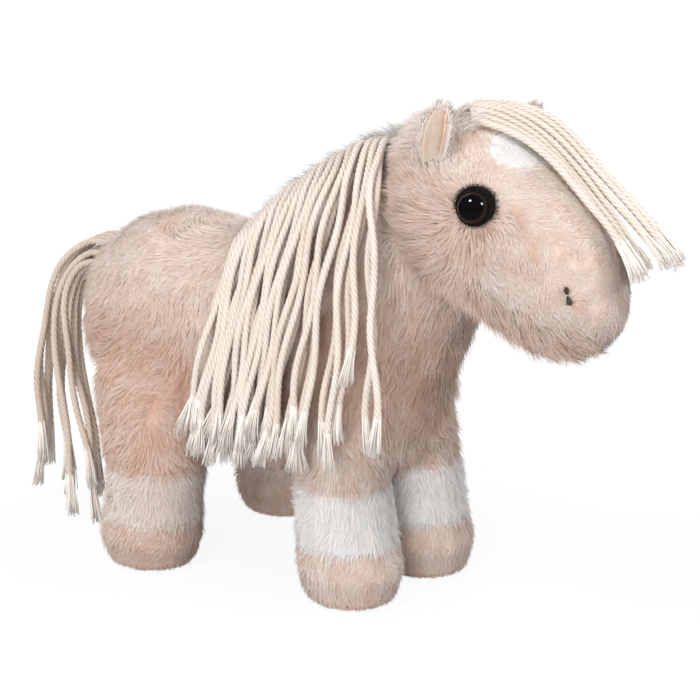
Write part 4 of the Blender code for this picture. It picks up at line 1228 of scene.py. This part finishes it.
def pile_tree():
    """Grows fibres on a skin, each bent the way that the skin is brushed at its root."""
    tree = bpy.data.node_groups.new("pile", "GeometryNodeTree")
    sockets = (("Skin", "Geometry"), ("Fibre", "Object"), ("Fibres per Square Metre", "Float"),
               ("Fibre Width", "Float"), ("Stray Share", "Float"), ("Clump Size", "Float"),
               ("Clump Share", "Float"), ("Least Tint", "Float"), ("Most Tint", "Float"),
               ("Seed", "Int"), ("Finish", "Material"))
    for name, kind in sockets:
        tree.interface.new_socket(name, in_out="INPUT", socket_type=f"NodeSocket{kind}")
    tree.interface.new_socket("Plush", in_out="OUTPUT", socket_type="NodeSocketGeometry")
    net = Net(tree)
    given = net.add("NodeGroupInput")

    def stored(label, kind="FLOAT"):
        return net.add("GeometryNodeInputNamedAttribute", {"data_type": kind}, {"Name": label})[0]

    def store(geometry, label, kind, value, domain="POINT"):
        return net.add("GeometryNodeStoreNamedAttribute", {"data_type": kind, "domain": domain},
                       {"Geometry": geometry, "Name": label, "Value": value})[0]

    def by_share(low, high, seed):
        return net.add("FunctionNodeRandomValue", {"data_type": "FLOAT"},
                       {"Min": low, "Max": high, "Seed": seed})["Value"]

    def mapped(geometry, tint, rise):
        spread = net.add("ShaderNodeMapRange", values={
            "Value": tint, "From Min": given["Least Tint"], "From Max": given["Most Tint"]})[0]
        for label, across in (("pile", tint), ("OFBake", spread)):
            place = net.add("ShaderNodeCombineXYZ", values={0: across, 1: rise})[0]
            geometry = store(geometry, label, "FLOAT2", place, "CORNER")
        return geometry

    # The wall's inner and rim faces have points of the group, and stay bare
    inner = net.add("GeometryNodeFieldOnDomain", {"data_type": "FLOAT", "domain": "FACE"},
                    {"Value": stored("inside")})["Value"]
    outer = 1 - (inner * 4).math("MINIMUM", inner * 4, 1.0)
    density = given["Fibres per Square Metre"] * stored("thick") * outer
    grown = net.add("GeometryNodeDistributePointsOnFaces", {"distribute_method": "RANDOM"},
                    {"Mesh": given["Skin"], "Density": density, "Seed": given["Seed"]})
    place = net.add("GeometryNodeInputPosition")[0]
    points = store(grown["Points"], "out", "FLOAT_VECTOR", grown["Normal"])
    points = store(points, "root", "FLOAT_VECTOR", place)
    astray = net.add("FunctionNodeRandomValue", {"data_type": "FLOAT_VECTOR"},
                     {"Min": (-1.0, -1.0, -1.0), "Max": (1.0, 1.0, 1.0), "Seed": 3})["Value"]
    points = store(points, "stray", "FLOAT_VECTOR", net.scaled(astray, given["Stray Share"]))
    cell = net.add("ShaderNodeTexVoronoi", values={
        "Vector": place, "Scale": net.add("ShaderNodeMath", {"operation": "DIVIDE"},
                                          {0: 1.0, 1: given["Clump Size"]})[0]})["Position"]
    longer = net.add("ShaderNodeMapRange", {"interpolation_type": "SMOOTHSTEP"}, {
        "Value": stored("pile_length"), "From Min": 0.0040, "From Max": 0.0090})[0]
    points = store(points, "gather", "FLOAT_VECTOR",
                   net.scaled(net.vector("SUBTRACT", cell, place), given["Clump Share"] * longer))
    points = store(points, "length", "FLOAT", stored("pile_length") * by_share(0.60, 1.15, 5))
    points = store(points, "tone", "FLOAT", net.add(
        "ShaderNodeClamp", values={"Value": stored("tint") + by_share(-tint_spread, tint_spread, 7)})[0])
    shape = net.add("GeometryNodeObjectInfo", values={"Object": given["Fibre"]})["Geometry"]
    hair = net.add("GeometryNodeInstanceOnPoints", values={"Points": points, "Instance": shape})[0]
    hair = net.add("GeometryNodeRealizeInstances", values={"Geometry": hair})[0]
    rise = stored("along")
    length, out = stored("length"), stored("out", "FLOAT_VECTOR")
    brushed = stored("comb", "FLOAT_VECTOR")
    height = rise * 0.85 - rise * rise * 0.38
    lean = rise * 0.32 + rise * rise * 0.55
    bend = net.vector("ADD", net.scaled(out, height), net.scaled(brushed, lean))
    bend = net.vector("ADD", bend, net.scaled(stored("stray", "FLOAT_VECTOR"), rise))
    spot = net.vector("ADD", stored("root", "FLOAT_VECTOR"), net.scaled(bend, length))
    spot = net.vector("ADD", spot, net.scaled(stored("gather", "FLOAT_VECTOR"), rise * rise))
    side = net.vector("NORMALIZE", net.vector("CROSS_PRODUCT", out, net.vector(
        "ADD", brushed, (0.013, 0.007, 0.009))))
    ahead = net.vector("NORMALIZE", net.vector("CROSS_PRODUCT", net.vector(
        "ADD", out, brushed), side))
    ring = net.add("ShaderNodeSeparateXYZ", values={0: stored("across", "FLOAT_VECTOR")})
    offset = net.vector("ADD", net.scaled(side, ring[0]), net.scaled(ahead, ring[1]))
    spot = net.vector("ADD", spot, net.scaled(offset, given["Fibre Width"] * 0.5))
    spot = net.vector("MAXIMUM", spot, (-1.0, -1.0, 0.0002))
    hair = net.add("GeometryNodeSetPosition", values={"Geometry": hair, "Position": spot})[0]
    facing = net.vector("ADD", net.scaled(out, 1.3), net.scaled(offset, 0.15))
    hair = net.add("GeometryNodeSetMeshNormal", {"mode": "FREE", "domain": "POINT"},
                   {"Mesh": hair, "Custom Normal": net.vector("NORMALIZE", facing)})[0]
    hair = mapped(hair, stored("tone"), rise)
    skin = mapped(given["Skin"], stored("tint"), skin_rise)
    both = net.add("GeometryNodeJoinGeometry")
    for piece in (skin, hair):
        tree.links.new(piece.socket, both.node.inputs[0])
    # A flat rim leaves the skin's shading even up to the seam
    smooth = (inner - 0.5).math("ABSOLUTE", inner - 0.5).math("GREATER_THAN", (inner - 0.5).math(
        "ABSOLUTE", inner - 0.5), 0.4)
    whole = net.add("GeometryNodeSetShadeSmooth", {"domain": "FACE"},
                    {"Geometry": both[0], "Selection": smooth})[0]
    whole = net.add("GeometryNodeRealizeInstances", values={"Geometry": whole})[0]
    whole = net.add("GeometryNodeSetMaterial", values={"Geometry": whole,
                                                       "Material": given["Finish"]})[0]
    tree.links.new(whole.socket, net.add("NodeGroupOutput").node.inputs[0])
    return tree


# How much a fibre's tint may differ from its neighbours', and the skin's share of the way to the tips
tint_spread = 0.11
skin_rise = 0.38


def grow_pile(piece, tree, fibre, finish_name, count, stray=0.25, clump=0.0058, gather=0.50,
              width=None):
    """Gives the piece its pile and makes the result a plain mesh."""
    tints = np.clip(read(piece.data.attributes["tint"].data, "value", 1), 0, 1)
    pile = piece.modifiers.new("pile", "NODES")
    pile.node_group = tree
    given = {"Fibre": fibre, "Fibres per Square Metre": count, "Fibre Width": width or fibre_width,
             "Stray Share": stray, "Clump Size": clump, "Clump Share": gather,
             "Least Tint": max(0.0, float(tints.min()) - tint_spread),
             "Most Tint": min(1.0, float(tints.max()) + tint_spread),
             "Seed": len(piece.name), "Finish": finishes[finish_name]}
    for socket in tree.interface.items_tree:
        if socket.in_out == "INPUT" and socket.name in given:
            pile[socket.identifier] = given[socket.name]
    mesh = plain_mesh(piece)
    piece.vertex_groups.clear()
    for label in ("comb", "pile_length", "thick", "tint", "inside", "out", "root", "stray",
                  "gather", "length", "tone", "along", "across"):
        if label in mesh.attributes:
            mesh.attributes.remove(mesh.attributes[label])
    piece.data = mesh
    return piece


# Ears, eyes and stitching


def make_ears(nodes):
    """The ears' furry leaves and their felt linings."""
    tree = bpy.data.node_groups["pile"]
    fibre = make_fibre(1)
    for side in ("left", "right"):
        lining = merged_mesh(nodes, [f"{side}_ear_lining"])
        cup = BVHTree.FromPolygons([vertex.co for vertex in lining.vertices],
                                   [tuple(face.vertices) for face in lining.polygons])
        leaf = finer_piece(f"{side}_ear_plush", merged_mesh(nodes, [f"{side}_ear"]), 1)
        points = read(leaf.data.vertices, "co", 3)
        normals = read(leaf.data.vertices, "normal", 3)
        low = points[points[:, 2].argmin()]
        high = points[points[:, 2].argmax()]
        upwards = (high - low) / np.linalg.norm(high - low)
        comb = upwards - normals * (normals @ upwards)[:, None]
        gap = np.array([cup.find_nearest(Vector(point))[3] for point in points])
        covered = np.array([cup.ray_cast(Vector(point + normal * 0.0001), Vector(normal), 0.002)[0]
                            is not None for point, normal in zip(points, normals)])
        count = len(points)
        # The leaf's fur has a paler tint than the body's: painted light on the backlit ear.
        store_values(leaf.data, {"comb": comb * 0.8, "thick": np.where(covered, 0.0, 1.0),
                                 "pile_length": np.where(gap < 0.0014, 0.0036, 0.0040),
                                 "tint": np.full(count, 0.80)})
        grow_pile(leaf, tree, fibre, "beige_plush", 5.6e6, stray=0.30, width=0.00028)
        settle(leaf, "beige_plush", f"{side}_ear")
        felt = finer_piece(f"{side}_ear_felt", lining, 2)
        points = read(felt.data.vertices, "co", 3)
        normals = read(felt.data.vertices, "normal", 3)
        comb = upwards - normals * (normals @ upwards)[:, None]
        fold = np.array(ear_fold if side == "right" else [(x, -y, z) for x, y, z in ear_fold])
        # Painted shade: the lining's tint is lower near the fold.
        tint = 0.25 + 0.65 * smooth_step(gaps_to(points, resampled(fold, 0.0005)[0]), 0.0008, 0.0030)
        store_values(felt.data, {"comb": comb * 0.5, "thick": np.ones(len(points)),
                                 "pile_length": np.full(len(points), 0.0022), "tint": tint})
        grow_pile(felt, tree, fibre, "apricot_felt", 7e6, stray=0.4, gather=0.1, width=0.00030)
        settle(felt, "apricot_felt", f"{side}_ear_lining")
    bpy.data.objects.remove(fibre)


# Where the lining folds, deep in the near ear; the lining is tinted darker along it as painted shade.
ear_fold = ((0.0797, -0.0287, 0.2365), (0.0805, -0.0292, 0.2330), (0.0805, -0.0300, 0.2280),
            (0.0798, -0.0310, 0.2225))


def store_values(mesh, values):
    """Numbers or vectors for each point of the mesh, for the pile to read."""
    for label, value in values.items():
        vector = value.ndim == 2
        layer = mesh.attributes.new(label, "FLOAT_VECTOR" if vector else "FLOAT", "POINT")
        layer.data.foreach_set("vector" if vector else "value", value.astype(np.float32).ravel())


def finer_piece(name, mesh, levels):
    """A CAD mesh rounded by subdivision."""
    piece = bpy.data.objects.new(name, mesh)
    bpy.context.scene.collection.objects.link(piece)
    finer = piece.modifiers.new("finer", "SUBSURF")
    finer.levels = finer.render_levels = levels
    piece.data = plain_mesh(piece)
    piece.data.shade_smooth()
    return piece


def settle(piece, slot, *replaced):
    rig.ride(piece, "root")
    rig.slot(piece, slot)
    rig.replaces(piece, *replaced)


def seat_turn(place, out, along=None):
    """A frame with its Z out of the cover and its X along the given direction."""
    z = Vector(out).normalized()
    x = Vector(along) if along else Vector((1, 0, 0))
    x = (x - z * x.dot(z)).normalized()
    turn = Matrix((x, z.cross(x), z)).transposed().to_4x4()
    turn.translation = Vector(place) + horse_place
    return turn


def make_eyes(nodes):
    """Domed eyes on fuzzy black felt, with the washers behind them."""
    tree = bpy.data.node_groups["pile"]
    fibre = make_fibre(1)
    for side, (place, out) in eye_seats.items():
        turn = seat_turn(place, out)
        body = read(merged_mesh(nodes, [f"{side}_eye"]).vertices, "co", 3)
        local = np.array([turn.inverted() @ Vector(point) for point in body])
        centre = local[local[:, 2] > local[:, 2].max() - 0.0005].mean(0)
        shift = turn @ Matrix.Translation((centre[0], centre[1],
                                           local[:, 2].max() - eye_flange - eye_dome))
        dome = [(eye_radius * math.cos(angle), eye_flange + eye_dome * math.sin(angle))
                for angle in np.linspace(0, math.pi / 2, 20)[:-1]]
        profile = [(shank_radius, -shank_length + 0.0012), (shank_radius, -0.0002),
                   (eye_radius - 0.0003, -0.0002), (eye_radius, 0.0002), *dome]
        eye = turned_piece(f"{side}_eye_dome", profile, shift, finishes["eye_plastic"], 56)
        settle(eye, "eye_plastic", f"{side}_eye")
        felt = finer_piece(f"{side}_eye_felt", merged_mesh(nodes, [f"{side}_eye_backing"]), 1)
        points = read(felt.data.vertices, "co", 3)
        normals = read(felt.data.vertices, "normal", 3)
        middle = np.array(shift.translation)
        points = middle + (points - middle) * felt_share + np.array(felt_shift[side])
        felt.data.vertices.foreach_set("co", points.astype(np.float32).ravel())
        away = points - middle
        away /= np.maximum(np.linalg.norm(away, axis=1), 1e-6)[:, None]
        facing = normals @ np.array(out)
        radius = np.linalg.norm((points - middle)
                                - ((points - middle) @ np.array(out))[:, None] * np.array(out), axis=1)
        thick = np.where((facing > -0.3) & (radius > eye_radius * 0.9), 1.0, 0.0)
        store_values(felt.data, {"comb": away * 0.7, "thick": thick, "tint": np.full(len(points), 0.5),
                                 "pile_length": np.full(len(points), 0.0014)})
        grow_pile(felt, tree, fibre, "black_felt", 9e6, stray=0.6, gather=0.0, width=0.00020)
        settle(felt, "black_felt", f"{side}_eye_backing")
        washer = nodes[f"{side}_eye_washer"]
        washer.data.materials.clear()
        washer.data.materials.append(finishes["washer_plastic"])
    bpy.data.objects.remove(fibre)


def turned_piece(name, profile, turn, material, sides):
    """A closed turned shape with its poles on the axis and the share of its radius as a map."""
    rows = len(profile)
    widest = max(radius for radius, height in profile)
    points, shares = [], []
    for radius, height in profile:
        for side in range(sides):
            angle = 2 * math.pi * side / sides
            points.append((radius * math.cos(angle), radius * math.sin(angle), height))
            shares.append((radius / widest, height * 100))
    low, high = len(points), len(points) + 1
    points += [(0, 0, profile[0][1] - 0.0002), (0, 0, profile[-1][1] + 0.00002)]
    shares += [(0, 0), (0, 0)]
    faces = [(row * sides + side, row * sides + (side + 1) % sides,
              (row + 1) * sides + (side + 1) % sides, (row + 1) * sides + side)
             for row in range(rows - 1) for side in range(sides)]
    faces += [(low, (side + 1) % sides, side) for side in range(sides)]
    last = (rows - 1) * sides
    faces += [(high, last + side, last + (side + 1) % sides) for side in range(sides)]
    places = np.array([turn @ Vector(point) for point in points])
    return mesh_piece(name, places, faces, material, {"radius": np.array(shares)})


felt_share = 0.97
felt_shift = {"left": (-0.0007, 0.0, 0.0013), "right": (0.0006, 0.0004, 0.0013)}
nostril_seats = {
    "left": ((0.1636, 0.0236, 0.1579), (0.5495, 0.8132, -0.1917), (0.26, -0.05, -0.97)),
    "right": ((0.1667, -0.0229, 0.1655), (0.6530, -0.7546, 0.0645), (0.26, 0.08, -0.97)),
}
# Each clump of stitches: its place along the nostril, its half length and its half width
stitch_clumps = ((-0.0027, 0.0017, 0.0009), (0.0020, 0.0021, 0.0012))
clump_stitches = 6
stitch_radius = 0.00030


def make_nostrils(nodes):
    """Each nostril is two uneven clumps of thread, one above the other."""
    for side, (place, out, along) in nostril_seats.items():
        turn = seat_turn(place, out, along)
        body = read(merged_mesh(nodes, [f"{side}_nostril"]).vertices, "co", 3)
        top = max((turn.inverted() @ Vector(point))[2] for point in body)
        rng = random.Random(f"nostril {side}")
        points, faces = [], []
        for middle, half_length, half_width in stitch_clumps:
            for stitch in range(clump_stitches):
                across = (stitch + 0.5) / clump_stitches * 2 - 1
                reach = half_length * math.sqrt(1 - (across * 0.9) ** 2) * rng.uniform(0.85, 1.1)
                slant = rng.uniform(-0.0004, 0.0004)
                line = []
                for step in range(9):
                    part = step / 8 * 2 - 1
                    line.append(turn @ Vector((
                        middle + reach * part,
                        half_width * across * (1 - 0.25 * part ** 2) + slant * part,
                        top + 0.0008 - 0.0026 * part ** 4 + rng.uniform(-1, 1) * 0.00010)))
                add_tube(points, faces, line, stitch_radius)
        piece = mesh_piece(f"{side}_nostril_stitches", points, faces, finishes["dark_thread"])
        settle(piece, "dark_thread", f"{side}_nostril")


def add_tube(points, faces, line, radius, sides=7):
    """A thread along a line, with closed ends."""
    line = np.array(line)
    tangents, ahead, across = ring_frames(line)
    start = len(points)
    for index, middle in enumerate(line):
        size = radius * (0.55 if index in (0, len(line) - 1) else 1.0)
        for side in range(sides):
            turn = 2 * math.pi * side / sides
            points.append(middle + (ahead[index] * math.cos(turn)
                                    + across[index] * math.sin(turn)) * size)
    for row in range(len(line) - 1):
        for side in range(sides):
            a, b = start + row * sides + side, start + row * sides + (side + 1) % sides
            faces.append((a, b, b + sides, a + sides))
    faces.append(tuple(start + side for side in reversed(range(sides))))
    faces.append(tuple(start + (len(line) - 1) * sides + side for side in range(sides)))


finishes = {}


def main():
    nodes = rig.load()["nodes"]
    cad_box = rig.bounds()
    make_camera()
    make_studio()
    finishes.update(make_finishes())
    make_body(nodes, *make_cords(finishes))
    make_ears(nodes)
    make_eyes(nodes)
    make_nostrils(nodes)
    with open("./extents.json", "w") as file:
        json.dump({"cad": [list(corner) for corner in cad_box],
                   "visual": [list(corner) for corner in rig.bounds()]}, file)


main()
